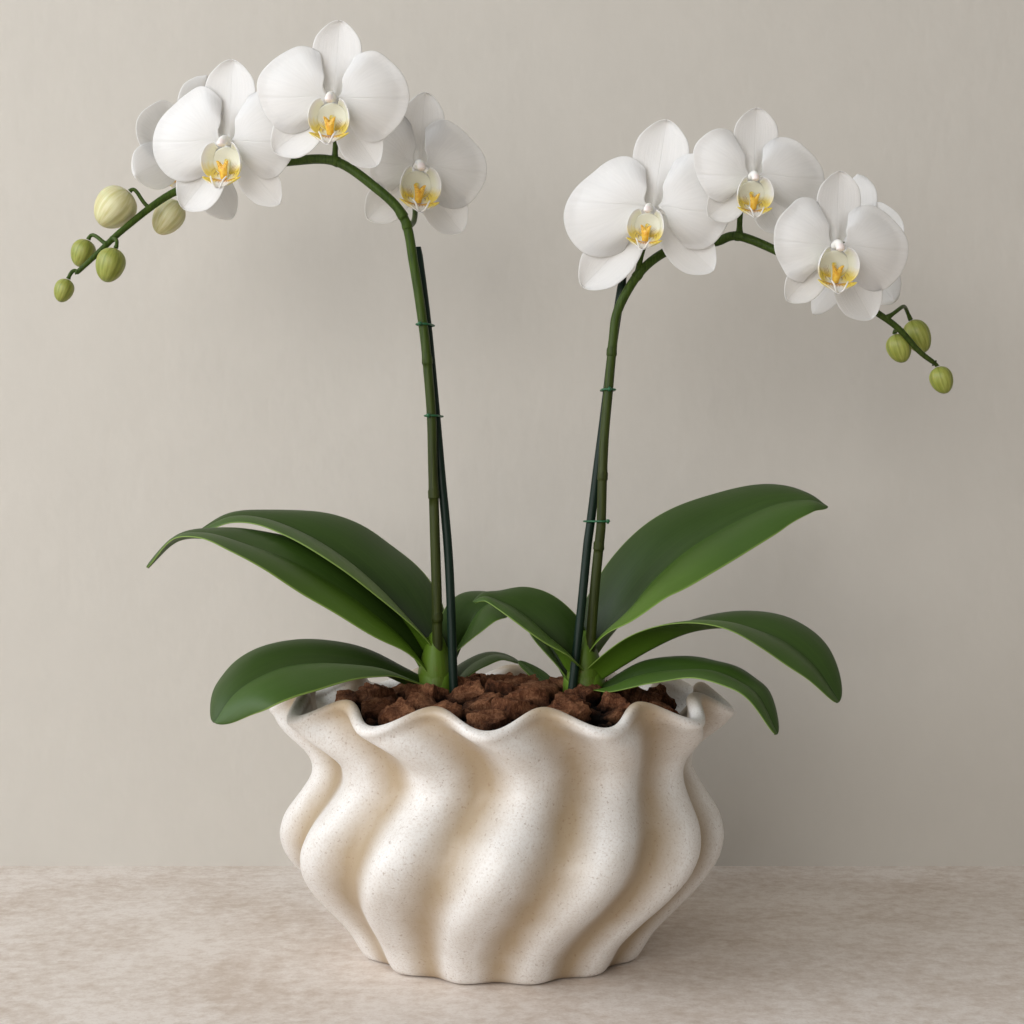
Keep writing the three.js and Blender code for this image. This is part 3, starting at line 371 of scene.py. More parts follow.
# What is painted on the column: the middle and the reach of each
COLUMN_MARKS = {"cap": ((0, -14.6, 3.2), 3.6), "hollow": ((0, -14.2, -1.2), 2.3)}
CUP_MIDDLE = -9
CUP_HALF = [(5.6, -10, 2.2), (9, -10.5, 0), (11.8, -10.5, -6), (11.6, -10, -13), (7.6, -9.5, -18)]
CUP_NOTCH = (0, -9, -19.4)
CUP_BAND = [(-x, y, z) for x, y, z in CUP_HALF] + [CUP_NOTCH] + CUP_HALF[::-1]
CUP_DEPTH = [1.6, 4.2, 5.6, 5.4, 3.4, 2.2, 3.4, 5.4, 5.6, 4.2, 1.6]
MIDDLE_LOBE_HALF = [2, 9, 13.4, 12, 6.5, 2]
TENDRIL = [(0.8, -20, -25.4), (2.6, -22, -23.4), (4.2, -21.5, -20), (5.6, -19.6, -18)]
CLAW = [(0, -10, -20), (0, -7.5, -14), (0, -4.4, -8)]
CALLUS_FOOT = (-10.6, -20)
CALLUS_TOP = (-13, -8.2)
CALLUS_HALF = [1.9, 2, 2.5, 3.3, 4.2]
THROAT_HALF = (9.9, 9)
THROAT_MIDDLE = (-3.6, -8.6)

# The stage, in metres: each light's place, size and colour, and the point that both face
LIGHTS = {
    "key": ((-2.3, -1.05, 1.4), 2.3, (0.92, 0.97, 1.03)),
    "fill": ((-0.9, -2.45, 0.9), 1.6, (1, 0.98, 0.955)),
}
LIT_POINT = (0, 0, 0.25)
ROOM_COLOUR = (1, 0.965, 0.91, 1)
ROOM_STRENGTH = 0.24
STAGE_SIZE = 6
WALL_MIDDLE = 2
CAMERA_ASIDE = 0.0065
SENSOR_WIDTH = 36  # in millimetres, as the lens


# Plain arithmetic


def clamp01(value):
    return min(max(value, 0), 1)


def smooth_step(low, high, value):
    t = clamp01((value - low) / (high - low))
    return t * t * (3 - 2 * t)


def bell(value, width):
    return math.exp(-((value / width) ** 2))


def blend(values, t):
    """The smooth curve through values set at equal steps from 0 to 1."""
    last = len(values) - 1
    place = clamp01(t) * last
    i = min(int(place), last - 1)
    f = place - i
    b, c = values[i], values[i + 1]
    a = values[i - 1] if i > 0 else 2 * b - c
    d = values[i + 2] if i + 2 <= last else 2 * c - b
    return b + 0.5 * f * (c - a + f * (2 * a - 5 * b + 4 * c - d + f * (3 * (b - c) + d - a)))


def round_ended(values, t):
    """As blend, but the last step closes in a round end."""
    last = len(values) - 1
    s = clamp01(t) * last - (last - 1)
    if s <= 0:
        return blend(values, t)
    start = values[-2]
    slope = (values[-1] - values[-3]) / 2
    return math.sqrt(max(1 - s, 1e-4)) * (start + (slope + start / 2) * s)


def curve_point(points, t):
    return Vector([blend([p[axis] for p in points], t) for axis in range(3)])


def curve_tangent(points, t, reach=0.01):
    return (curve_point(points, min(t + reach, 1)) - curve_point(points, max(t - reach, 0))).normalized()


def point_at_height(points, height):
    """The point of a rising curve at a height, found by halving."""
    low, high = 0, 1
    for _ in range(30):
        middle = (low + high) / 2
        if curve_point(points, middle).z < height:
            low = middle
        else:
            high = middle
    return curve_point(points, low)


def even_steps(count):
    return [i / count for i in range(count + 1)]


def seeded_draw(seed):
    """A small repeatable draw of numbers from 0 to 1."""
    state = seed

    def draw():
        nonlocal state
        state = (state * 1664525 + 1013904223) % 4294967296
        return state / 4294967296

    return draw


def paint(red, green, blue):
    """A colour given in screen values from 0 to 255, as linear light."""
    share = [value / 255 for value in (red, green, blue)]
    return [s / 12.92 if s <= 0.04045 else ((s + 0.055) / 1.055) ** 2.4 for s in share]


# Materials


class Signal:
    """A shader value on which plain arithmetic adds Math nodes."""

    def __init__(self, finish, socket):
        self.finish = finish
        self.socket = socket

    def math(self, operation, *values, clamp=False):
        settings = {"operation": operation, "use_clamp": clamp}
        return self.finish.node("ShaderNodeMath", settings, dict(enumerate(values)))

    def __add__(self, other):
        return self.math("ADD", self, other)

    __radd__ = __add__

    def __sub__(self, other):
        return self.math("SUBTRACT", self, other)

    def __rsub__(self, other):
        return self.math("SUBTRACT", other, self)

    def __mul__(self, other):
        return self.math("MULTIPLY", self, other)

    __rmul__ = __mul__

    def __abs__(self):
        return self.math("ABSOLUTE", self)

    def sine(self):
        return self.math("SINE", self)

    def above(self, edge, softness):
        """0 well under the edge and 1 well over it."""
        return self.math("DIVIDE", self - (edge - softness / 2), softness, clamp=True)


class Finish:
    """One procedural material; constants are set on the shader's own sockets."""

    def __init__(self, name, **constants):
        self.material = bpy.data.materials.new(name)
        self.material.use_nodes = True
        self.tree = self.material.node_tree
        self.shader = self.tree.nodes["Principled BSDF"]
        for socket, value in constants.items():
            self.shader.inputs[socket.replace("_", " ")].default_value = value

    def node(self, kind, settings=None, inputs=None, output=0):
        made = self.tree.nodes.new(kind)
        for name, value in (settings or {}).items():
            if name == "stops":
                self.set_stops(made.color_ramp, value)
            else:
                setattr(made, name, value)
        for key, value in (inputs or {}).items():
            if isinstance(value, Signal):
                self.tree.links.new(value.socket, made.inputs[key])
            else:
                made.inputs[key].default_value = value
        return Signal(self, made.outputs[output])

    def set_stops(self, ramp, stops):
        while len(ramp.elements) < len(stops):
            ramp.elements.new(0.5)
        for element, (place, colour) in zip(ramp.elements, stops):
            element.position = place
            element.color = (*colour, 1)

    def place(self, *scale):
        """The place on the object, stretched where a scale is given."""
        here = self.node("ShaderNodeTexCoord", output="Object")
        return self.stretched(here, scale) if scale else here

    def stretched(self, vector, scale):
        settings = {"operation": "MULTIPLY"}
        return self.node("ShaderNodeVectorMath", settings, {0: vector, 1: scale})

    def across_and_along(self):
        """The piece's own u and v, from 0 to 1, and both as a vector."""
        uv = self.node("ShaderNodeTexCoord", output="UV")
        return self.part(uv, "X"), self.part(uv, "Y"), uv

    def part(self, vector, axis):
        return self.node("ShaderNodeSeparateXYZ", inputs={0: vector}, output=axis)

    def attribute(self, name):
        return self.node("ShaderNodeAttribute", {"attribute_name": name}, output="Fac")

    def noise(self, vector, scale, detail, roughness, distortion=0.0):
        inputs = {"Vector": vector, "Scale": scale, "Detail": detail, "Roughness": roughness}
        return self.node("ShaderNodeTexNoise", inputs={**inputs, "Distortion": distortion})

    def drawn_out(self, uv, across, along, detail, roughness):
        """Noise over the piece's own u and v, as fine across and along as is given."""
        return self.noise(self.stretched(uv, (across, along, 1)), 1, detail, roughness)

    def mixed(self, share, first, second):
        """From the first colour to the second one."""
        as_colour = [v if isinstance(v, Signal) else (*v, 1) for v in (first, second)]
        inputs = {0: share, 6: as_colour[0], 7: as_colour[1]}
        return self.node("ShaderNodeMix", {"data_type": "RGBA", "clamp_factor": True}, inputs, 2)

    def ramp(self, share, stops):
        return self.node("ShaderNodeValToRGB", {"stops": stops}, {0: share})

    def bump(self, height, distance, strength):
        """Relief as deep as distance, in metres."""
        inputs = {"Strength": strength, "Distance": distance, "Height": height}
        return self.node("ShaderNodeBump", inputs=inputs)

    def done(self, **surface):
        for socket, value in surface.items():
            self.tree.links.new(value.socket, self.shader.inputs[socket.replace("_", " ")])
        return self.material


def glaze_finish(look):
    """Satin cream glaze, browner in the flutes where it lies thick and where shade is painted, with fine
    brown specks.
    """
    f = Finish("cream_glaze", Roughness=0.4, Coat_Weight=0.15, Coat_Roughness=0.3)
    here = f.place()
    clouds = f.noise(here, 14, 4, 0.6)
    # The flutes are painted browner: partly glaze that lies thick there, partly painted shade.
    valley = f.attribute("recess") + (clouds - 0.5) * 0.8
    body = f.mixed(valley.above(0.62, 0.75), look.glaze, look.recess)
    patches = f.noise(here, 45, 4, 0.65)
    body = f.mixed(patches.above(0.55, 0.3) * 0.16, body, look.recess)
    fine = f.noise(here, 750, 3, 0.7)
    body = f.mixed(fine.above(0.56, 0.16) * look.speckles * 0.34, body, paint(168, 142, 116))
    specks = f.noise(here, 620, 1, 0.4)
    body = f.mixed(specks.above(0.7, 0.08) * look.speckles * 0.55, body, paint(138, 104, 78))
    relief = f.noise(here, 60, 3, 0.6) * 0.8 + f.noise(here, 500, 2, 0.5) * 0.12
    return f.done(
        Base_Color=body,
        Roughness=clouds * 0.14 + fine * 0.1 + 0.3,
        Normal=f.bump(relief, 0.0006, 0.4),
    )


def bark_finish(look):
    """Rough brown bark, painted nearly black as shade low between the chips, with torn fibres."""
    f = Finish("chunky_bark", Roughness=0.95, Specular_IOR_Level=0.15)
    here = f.place()
    coarse = f.noise(here, 70, 4, 0.65)
    fibres = f.noise(f.place(1, 1, 0.4), 520, 6, 0.75, 1.2)
    tone = coarse * 0.5 + fibres * 0.55
    body = f.ramp(tone, [(0.36, paint(30, 17, 11)), (0.5, look.bark), (0.66, look.fibre)])
    # Painted shade: chips turn nearly black low down between their neighbours, and keep their own colour
    # where they stand free.
    exposed = (f.attribute("exposed") + (coarse - 0.5) * 0.5).above(0.5, 0.8)
    body = f.mixed(exposed, paint(16, 10, 7), body)
    return f.done(Base_Color=body, Normal=f.bump(fibres + coarse * 0.5, 0.003, 1))


def soil_finish():
    """The shadowed fines between the chips."""
    f = Finish("bark_fines", Roughness=1, Specular_IOR_Level=0.05)
    crumbs = f.noise(f.place(), 300, 5, 0.7)
    body = f.mixed(crumbs.above(0.58, 0.2), paint(14, 9, 6), paint(40, 25, 17))
    return f.done(Base_Color=body, Normal=f.bump(crumbs, 0.003, 0.8))


def leaf_finish(name, look, pale):
    """The upper face of a leaf: its two halves, painted shade low on the rear half, a groove along the midrib
    darkened as painted shade, and fine lengthwise veins.
    """
    f = Finish(name, Roughness=0.45, Specular_IOR_Level=0.38)
    across, along, uv = f.across_and_along()
    veins = f.drawn_out(uv, 70, 1.6, 3, 0.55)
    clouds = f.drawn_out(uv, 3, 5, 3, 0.6)
    halves = f.mixed(across.above(0.5, 0.02), look.rear, look.front)
    body = f.mixed(veins.above(0.5, 0.5) * 0.35 + clouds * 0.3 - 0.1, halves, look.vein)
    front_half = across.above(0.5, 0.04)
    # Painted shade: the rear half turns nearly black towards the leaf's base.
    body = f.mixed((1 - along.above(0.26, 0.5)) * (1 - front_half) * 0.7, body, paint(16, 30, 4))
    # The leaf's pale base on its front half, kept faint as painted shade where the foot lies in shade.
    body = f.mixed((1 - along.above(0.3, 0.6)) * front_half * pale, body, look.base)
    from_middle = abs(across - 0.5)
    groove = 1 - from_middle.above(0.006, 0.012)
    # Painted shade: the groove along the midrib is darkened.
    body = f.mixed(groove * 0.45, body, paint(20, 42, 16))
    body = f.mixed(from_middle.above(0.487, 0.012) * 0.8, body, look.margin)
    relief = veins * 0.5 - groove * 0.6
    return f.done(
        Base_Color=body,
        Roughness=clouds * 0.16 + veins * 0.08 + 0.36,
        Normal=f.bump(relief, 0.0005, 0.5),
    )


def leaf_back_finish(look):
    """The paler underside of a leaf, with its light keel."""
    f = Finish("leaf_underside", Roughness=0.5, Specular_IOR_Level=0.25)
    across, along, uv = f.across_and_along()
    veins = f.drawn_out(uv, 50, 2, 3, 0.6)
    body = f.mixed(veins.above(0.5, 0.6) * 0.5, look.underside, look.keel)
    keel = 1 - abs(across - 0.5).above(0.03, 0.06)
    body = f.mixed(keel * 0.6 + (1 - along.above(0.25, 0.5)) * 0.6, body, look.keel)
    return f.done(Base_Color=body, Normal=f.bump(veins, 0.0004, 0.4))


def crown_finish(look):
    """Ribbed green sheaths, with a few brown stains low down."""
    f = Finish("leaf_sheaths", Roughness=0.5, Specular_IOR_Level=0.3)
    _, along, uv = f.across_and_along()
    ribs = f.drawn_out(uv, 40, 2.5, 3, 0.6)
    body = f.mixed(along.above(0.5, 0.9), look.sheath, look.base)
    body = f.mixed(ribs.above(0.52, 0.3) * 0.5, body, paint(88, 116, 38))
    stains = f.noise(f.place(), 130, 4, 0.7)
    body = f.mixed(stains.above(0.62, 0.12) * (1 - along.above(0.4, 0.5)), body, paint(112, 74, 40))
    return f.done(Base_Color=body, Normal=f.bump(ribs, 0.0006, 0.5))


def spike_finish(look):
    """Green stem, olive-brown towards the foot, streaked lengthwise."""
    f = Finish("spike_skin", Roughness=0.45, Specular_IOR_Level=0.2)
    here = f.place()
    height = f.part(here, "Z")
    streaks = f.noise(f.place(700, 700, 22), 1, 4, 0.65)
    low = f.mixed(streaks.above(0.55, 0.35), look.stem_foot, paint(64, 72, 28))
    high = f.mixed(streaks.above(0.55, 0.4), look.stem, paint(72, 94, 28))
    body = f.mixed((height + streaks * 0.05).above(0.4, 0.14), low, high)
    return f.done(Base_Color=body, Normal=f.bump(streaks, 0.0004, 0.4))


def stake_finish(look):
    f = Finish("green_stake", Roughness=0.42, Specular_IOR_Level=0.22)
    grain = f.noise(f.place(900, 900, 40), 1, 3, 0.6)
    body = f.mixed(grain.above(0.52, 0.3) * 0.5, look.stake, paint(22, 46, 34))
    return f.done(
        Base_Color=body,
        Roughness=grain * 0.25 + 0.3,
        Normal=f.bump(grain, 0.0003, 0.4),
    )


def tie_finish():
    f = Finish("green_tie_wire", Roughness=0.4)
    turns = f.noise(f.place(), 1500, 2, 0.5)
    body = f.mixed(turns.above(0.5, 0.3), paint(16, 72, 42), paint(34, 104, 64))
    return f.done(Base_Color=body)


def petal_finish(name, look, green, ground):
    """White petal with faint veins that spread from its foot and a fine crease along its middle, darkened as
    painted shade.
    """
    f = Finish(
        name, Roughness=0.5, Specular_IOR_Level=0.3, Sheen_Weight=0.1, Sheen_Roughness=0.4,
        Subsurface_Weight=0.5, Subsurface_Radius=(1.0, 0.95, 0.88), Subsurface_Scale=0.004,
    )
    across, along, uv = f.across_and_along()
    veins = f.drawn_out(uv, 60, 2.2, 3, 0.6)
    fine = f.drawn_out(uv, 190, 7, 2, 0.6)
    body = f.mixed(veins.above(0.52, 0.3) * look.veins * 0.4, ground, [0.88 * c for c in ground])
    if green:
        body = f.mixed((1 - along.above(0.14, 0.3)) * green, body, paint(218, 222, 184))
    crease = 1 - abs(across - 0.5).above(0.005, 0.012)
    # Painted shade: the crease is darkened.
    body = f.mixed(crease * 0.16, body, [0.8 * c for c in ground])
    relief = veins * 0.6 + fine * 0.2 - crease * 0.7
    return f.done(Base_Color=body, Normal=f.bump(relief, 0.0005, look.veins * 0.6))


def lip_flesh(name, roughness=0.35):
    """Waxy flesh that lets some light through."""
    return Finish(
        name, Roughness=roughness, Specular_IOR_Level=0.45, Subsurface_Weight=0.35,
        Subsurface_Radius=(1, 0.95, 0.8), Subsurface_Scale=0.005,
    )


def cup_finish(look):
    """Side lobes of the lip: white-edged, yellow low down on each side, greenish-white inside."""
    f = lip_flesh("lip_side_lobes")
    across, along, uv = f.across_and_along()
    from_foot = abs(along - 0.5)
    wobble = (f.drawn_out(uv, 6, 14, 2, 0.5) - 0.5) * 0.1
    body = f.mixed(1 - across.above(0.6, 0.5), look.petal, look.throat)
    yellow = (1 - (from_foot + wobble).above(0.21, 0.1)) * (from_foot + wobble).above(0.07, 0.06)
    body = f.mixed(yellow * 0.9, body, look.lip)
    stripes = (from_foot * 150 + across * 9 + wobble * 14).sine().above(0.6, 0.5)
    zone = (1 - from_foot.above(0.16, 0.1)) * (1 - across.above(0.4, 0.2))
    body = f.mixed(stripes * zone * 0.6, body, look.wine)
    relief = f.drawn_out(uv, 8, 60, 2, 0.5)
    return f.done(Base_Color=body, Normal=f.bump(relief, 0.0004, 0.35))


def throat_finish(look):
    """The cup's hollow back: greenish-white, with short wine-red streaks beside the callus."""
    f = lip_flesh("lip_throat", 0.45)
    across, along, uv = f.across_and_along()
    from_middle = abs(across - 0.5)
    wobble = f.drawn_out(uv, 9, 9, 2, 0.5)
    body = f.mixed(along.above(0.22, 0.3), look.lip, look.throat)
    streaks = (from_middle * 110 - along * 34 + wobble * 7).sine().above(0.45, 0.6)
    zone = from_middle.above(0.15, 0.05) * (1 - from_middle.above(0.36, 0.08)) * (1 - along.above(0.4, 0.2))
    body = f.mixed(streaks * zone * 0.75, body, look.wine)
    return f.done(Base_Color=body)


def middle_lobe_finish(look):
    """Yellow wings with a wine-red edge to their foot, and a white tip."""
    f = lip_flesh("lip_middle_lobe")
    across, along, uv = f.across_and_along()
    from_middle = abs(across - 0.5)
    wobble = (f.drawn_out(uv, 7, 5, 2, 0.5) - 0.5) * 0.2
    wings = from_middle.above(0.2, 0.14) * (1 - (along + wobble).above(0.74, 0.2))
    body = f.mixed(wings * 0.95, look.petal, look.lip)
    foot = 1 - (along + wobble).above(0.26, 0.2)
    body = f.mixed(foot * 0.7, body, look.callus)
    stripes = (from_middle * 70 + along * 20 + wobble * 12).sine().above(0.62, 0.4)
    zone = 1 - (along + wobble).above(0.34, 0.2)
    return f.done(Base_Color=f.mixed(stripes * zone * 0.7, body, look.wine))


def callus_finish(look):
    """The orange-yellow callus, softly dotted red-brown towards its horns."""
    f = lip_flesh("lip_callus", 0.32)
    _, along, _ = f.across_and_along()
    here = f.place()
    dots = f.noise(here, 1500, 1, 0.5)
    shade = f.noise(here, 420, 2, 0.5)
    body = f.mixed(shade.above(0.45, 0.35), look.callus, paint(244, 200, 84))
    body = f.mixed(dots.above(0.6, 0.1) * along.above(0.55, 0.4) * 0.7, body, paint(150, 84, 34))
    return f.done(Base_Color=body)


def tendril_finish(look):
    f = lip_flesh("lip_tendrils")
    shade = f.noise(f.place(), 500, 2, 0.5)
    return f.done(Base_Color=f.mixed(shade.above(0.5, 0.4) * 0.4, look.petal, paint(238, 226, 190)))


def column_finish(look):
    """Column: white, its cap blushed pink and the hollow below it amber."""
    f = lip_flesh("column_skin", 0.38)
    grain = f.noise(f.place(), 420, 2, 0.5) * 0.3
    body = f.mixed((f.attribute("cap") + grain).above(0.75, 0.5) * 0.7, paint(244, 242, 236), look.blush)
    body = f.mixed((f.attribute("hollow") + grain).above(0.8, 0.5) * 0.8, body, paint(176, 128, 84))
    return f.done(Base_Color=body)


def bud_finish(name, body_colour, stripe, seam):
    """Bud skin with paler lengthwise stripes and three seams."""
    f = Finish(
        name, Roughness=0.42, Specular_IOR_Level=0.45, Subsurface_Weight=0.15, Subsurface_Scale=0.003,
    )
    _, along, uv = f.across_and_along()
    stripes = f.drawn_out(uv, 26, 1.6, 3, 0.6)
    body = f.mixed(stripes.above(0.5, 0.3) * 0.55, body_colour, stripe)
    body = f.mixed((1 - along.above(0.16, 0.24)) * 0.55, body, seam)
    body = f.mixed(f.attribute("seam") * 0.6, body, seam)
    return f.done(Base_Color=body, Normal=f.bump(stripes, 0.0004, 0.4))


def floor_finish(look):
    """Pale stone with soft clouds and fine mottling."""
    f = Finish("pale_stone", Roughness=0.55)
    clouds = f.noise(f.place(), 11, 4, 0.68)
    mottle = f.noise(f.place(), 95, 4, 0.75)
    body = f.ramp(clouds * 0.45 + mottle * 0.55, [(0.38, look.floor_shade), (0.58, look.floor)])
    grit = f.noise(f.place(), 420, 3, 0.65)
    body = f.mixed(grit.above(0.6, 0.12) * 0.4, body, look.floor_shade)
    return f.done(Base_Color=body, Normal=f.bump(mottle, 0.0006, 0.25))


def wall_finish(look):
    f = Finish("pale_wall", Roughness=0.9)
    plaster = f.noise(f.place(), 22, 3, 0.62)
    strokes = f.noise(f.place(1, 1, 0.45), 75, 2, 0.6)
    body = f.mixed(plaster.above(0.5, 0.5) * 0.5, look.wall, [0.94 * c for c in look.wall])
    return f.done(Base_Color=body, Normal=f.bump(plaster + strokes * 0.4, 0.003, 0.25))


# Making pieces


def deselect():
    bpy.ops.object.select_all(action="DESELECT")


def select_only(*objects):
    deselect()
    for obj in objects:
        obj.select_set(True)
    bpy.context.view_layer.objects.active = objects[0]


def added(add, **settings):
    """What an operator adds, with nothing else selected."""
    deselect()
    add(**settings)
    return bpy.context.object


def apply_modifier(kind, **settings):
    """Adds a modifier to the active object, sets it and applies it."""
    bpy.ops.object.modifier_add(type=kind)
    modifier = bpy.context.object.modifiers[-1]
    for name, value in settings.items():
        setattr(modifier, name, value)
    bpy.ops.object.modifier_apply(modifier=modifier.name)


def smoothed():
    apply_modifier("SUBSURF", levels=1, render_levels=1)


def edit(*steps):
    """Runs edit-mode operators on all of the active object's mesh."""
    bpy.ops.object.mode_set(mode="EDIT")
    bpy.ops.mesh.select_all(action="SELECT")
    for step, settings in steps:
        step(**settings)
    bpy.ops.object.mode_set(mode="OBJECT")


def merged(distance=0.01):
    edit((bpy.ops.mesh.remove_doubles, {"threshold": distance * MM}))


def facing_out():
    edit((bpy.ops.mesh.normals_make_consistent, {"inside": False}))


def paint_with(obj, *materials):
    """Gives the object its materials, the back's after the front's."""
    obj.data.materials.clear()
    for material in materials:
        obj.data.materials.append(material)
    return obj


def mark(obj, name, values):
    """Keeps a value for each vertex, for the material to read."""
    layer = obj.data.attributes.new(name, "FLOAT", "POINT")
    layer.data.foreach_set("value", values)


def joined(objects):
    select_only(*objects)
    bpy.ops.object.join()
    return bpy.context.object


def hand_over(piece, name, nodes, slot, angle=None, matrix=Matrix.Identity(4)):
    """Sets the named piece, in metres, in place of its solids on the plant's one body."""
    piece.name = piece.data.name = name
    piece.data.transform(matrix)
    piece.data.transform(Matrix.Scale(MM, 4))
    piece.data.update()
    select_only(piece)
    if angle is None:
        bpy.ops.object.shade_smooth()
    else:
        bpy.ops.object.shade_smooth_by_angle(angle=math.radians(angle))
    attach(piece, "root")
    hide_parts(*nodes)


def even_flow(u):
    return (u + 1) / 2


def bent_grid(surface, across, along, front, crowding, flow):
    """A grid bent to surface(u, v) in millimetres, its front facing the way given at the middle.

    Crowding draws its rows together towards v = 1, and flow(u) is where its UV map has a column."""
    grid = added(bpy.ops.mesh.primitive_grid_add, x_subdivisions=across, y_subdivisions=along, size=2)
    places = []
    for vertex in grid.data.vertices:
        v = 1 - (1 - (vertex.co.y + 1) / 2) ** crowding
        places.append((vertex.co.x, v))
        vertex.co = surface(vertex.co.x, v)
    uv = grid.data.uv_layers.active.data
    for loop in grid.data.loops:
        u, v = places[loop.vertex_index]
        uv[loop.index].uv = (flow(u), v)
    grid.data.update()
    middle = grid.data.polygons[len(grid.data.polygons) // 2 + across // 2]
    if middle.normal.dot(Vector(front)) < 0:
        edit((bpy.ops.mesh.flip_normals, {}))
    return grid, places


def evenly_thick(u, v):
    return 1


def blade(surface, across, along, front, thickness, share_at=evenly_thick, crowding=1.0, flow=even_flow):
    """A closed sheet over surface(u, v), with the share of its thickness that share_at(u, v) gives."""
    grid, places = bent_grid(surface, across, along, front, crowding, flow)
    group = grid.vertex_groups.new(name="thickness")
    for index, (u, v) in enumerate(places):
        group.add([index], share_at(u, v), "REPLACE")
    apply_modifier(
        "SOLIDIFY",
        thickness=thickness,
        offset=0,
        vertex_group=group.name,
        thickness_vertex_group=0,
        material_offset=1,
    )
    grid.vertex_groups.clear()
    smoothed()
    return grid


def tube(points, radius_at, stations, roundness):
    """A round stem along a chain of points, with a ring at each station, closed at both ends."""
    curve = added(bpy.ops.curve.primitive_nurbs_path_add).data
    curve.splines.clear()
    spline = curve.splines.new("POLY")
    spline.points.add(len(stations) - 1)
    for point, t in zip(spline.points, stations):
        point.co = (*curve_point(points, t), 1)
        point.radius = radius_at(t)
    curve.dimensions = "3D"
    curve.twist_mode = "MINIMUM"
    curve.bevel_depth = 1
    curve.bevel_resolution = roundness
    curve.use_fill_caps = True
    bpy.ops.object.convert(target="MESH")
    merged(10)
    facing_out()
    return bpy.context.object


# Settings that a user may change


def colour(name, description, *screen):
    return FloatVectorProperty(name=name, description=description, subtype="COLOR", default=paint(*screen))


def length(name, description, metres):
    return FloatProperty(name=name, description=description, default=metres, unit="LENGTH")


def strength(name, description, default):
    return FloatProperty(name=name, description=description, default=default, subtype="FACTOR", min=0, max=1)


def power(name, description, watts):
    return FloatProperty(name=name, description=description, default=watts, unit="POWER")


# Pot and bark


def pot_value(column, height):
    table = POT["outside"]
    if height <= table[0][0]:
        return table[0][column]
    for low, high in zip(table, table[1:]):
        if height <= high[0]:
            return low[column] + (high[column] - low[column]) * (height - low[0]) / (high[0] - low[0])
    return table[-1][column]


def flute_swell(x, y, z):
    angle = math.atan2(x, -y)
    return math.cos(POT["lobes"] * (angle - math.radians(POT["first_lobe"] + pot_value(FLUTE_TURN, z))))


def fluted(point):
    """Presses the flutes and the rim's waves into a point of the plain turned form."""
    radius = math.hypot(point.x, point.y)
    angle = math.atan2(point.x, -point.y)
    swell = flute_swell(*point)
    share = smooth_step(30, 80, radius)
    turned = radius + pot_value(FLUTE_DEPTH, point.z) * swell * share
    wave = POT["rim_wave"] * smooth_step(POT["wave_starts"], POT["rim_height"], point.z)
    return Vector((math.sin(angle) * turned, -math.cos(angle) * turned, point.z - wave * swell * share))


def turned(profile, steps):
    """Spins a chain of (radius, height) points about Z into a closed skin."""
    form = added(bpy.ops.mesh.primitive_plane_add, size=1)
    bpy.ops.object.mode_set(mode="EDIT")
    bpy.ops.mesh.select_all(action="SELECT")
    bpy.ops.mesh.merge(type="CENTER")
    bpy.ops.transform.translate(value=(profile[0][0], 0, profile[0][1]))
    for (r, z), (next_r, next_z) in zip(profile, profile[1:]):
        bpy.ops.mesh.extrude_region_move(TRANSFORM_OT_translate={"value": (next_r - r, 0, next_z - z)})
    bpy.ops.mesh.select_all(action="SELECT")
    bpy.ops.mesh.spin(steps=steps, angle=2 * math.pi, center=(0, 0, 0), axis=(0, 0, 1))
    bpy.ops.object.mode_set(mode="OBJECT")
    merged()
    return form


def inner_radius(z):
    return pot_value(RADIUS, z) - POT["wall"]


def smooth_outside(height):
    """Outer radius of the pot, with the corners of its table rounded."""
    reach = 5
    return sum(pot_value(RADIUS, height + reach * k / 3) for k in range(-3, 4)) / 7


class OrchidPot(bpy.types.PropertyGroup):
    rim_height: length("Rim height", "Mean height of the rim", POT["rim_height"] * MM)
    rim_thickness: length("Rim", "Thickness of the rolled rim", 10 * MM)
    glaze: colour("Glaze", "Colour of the glaze", 236, 233, 229)
    # Colour of the flutes: glaze that lies thick there, with painted shade.
    recess: colour("Recesses", "Glaze where it lies thick", 174, 154, 126)
    speckles: strength("Specks", "Strength of the brown specks", 0.7)


class OrchidMakePot(bpy.types.Operator):
    """Make the fluted pot with its ruffled rim"""

    bl_idname = "orchid.make_pot"
    bl_label = "Pot"

    def execute(self, context):
        look = context.scene.orchid_pot
        rim = look.rim_height / MM
        half = look.rim_thickness / MM / 2
        stands_out, lies_down, half_height = POT["roll"]
        middle = pot_value(RADIUS, rim) + stands_out - half
        outside = POT["foot"] + [(smooth_outside(z), z) for z in range(6, 159, 4)]
        rolled = [
            (middle + half * math.cos(a), rim - lies_down + half_height * math.sin(a))
            for a in (math.radians(d) for d in range(-20, 201, 20))
        ]
        inside = [(inner_radius(z), z) for z in range(154, 15, -10)]
        inner_floor = [(inner_radius(18) - 4, POT["floor"]), (0, POT["floor"])]
        pot = turned(outside + rolled + inside + inner_floor, POT["lobes"] * 12)
        # Where the flutes lie, for their browner glaze and painted shade.
        recess = [0.5 - 0.5 * flute_swell(*vertex.co) for vertex in pot.data.vertices]
        for vertex in pot.data.vertices:
            vertex.co = fluted(vertex.co)
        facing_out()
        mark(pot, "recess", recess)
        smoothed()
        paint_with(pot, glaze_finish(look))
        hand_over(pot, "glazed_pot", ["pot"], "glaze")
        return {"FINISHED"}


def bark_top(radius):
    """Height of the mound of chips at a distance from the pot's axis."""
    return BARK["edge"] + BARK["mound"] * (1 - (radius / inner_radius(BARK["edge"])) ** 2)


def lumps(point, fineness, height):
    """Uneven relief, the same at each run."""
    return height * noise.fractal(point * fineness, 1.0, 2.2, 3)


CORNERS = [
    (1, 1, 1), (1, 1, -1), (1, -1, 1), (1, -1, -1), (-1, 1, -1), (-1, 1, 1), (-1, -1, -1), (-1, -1, 1),
]


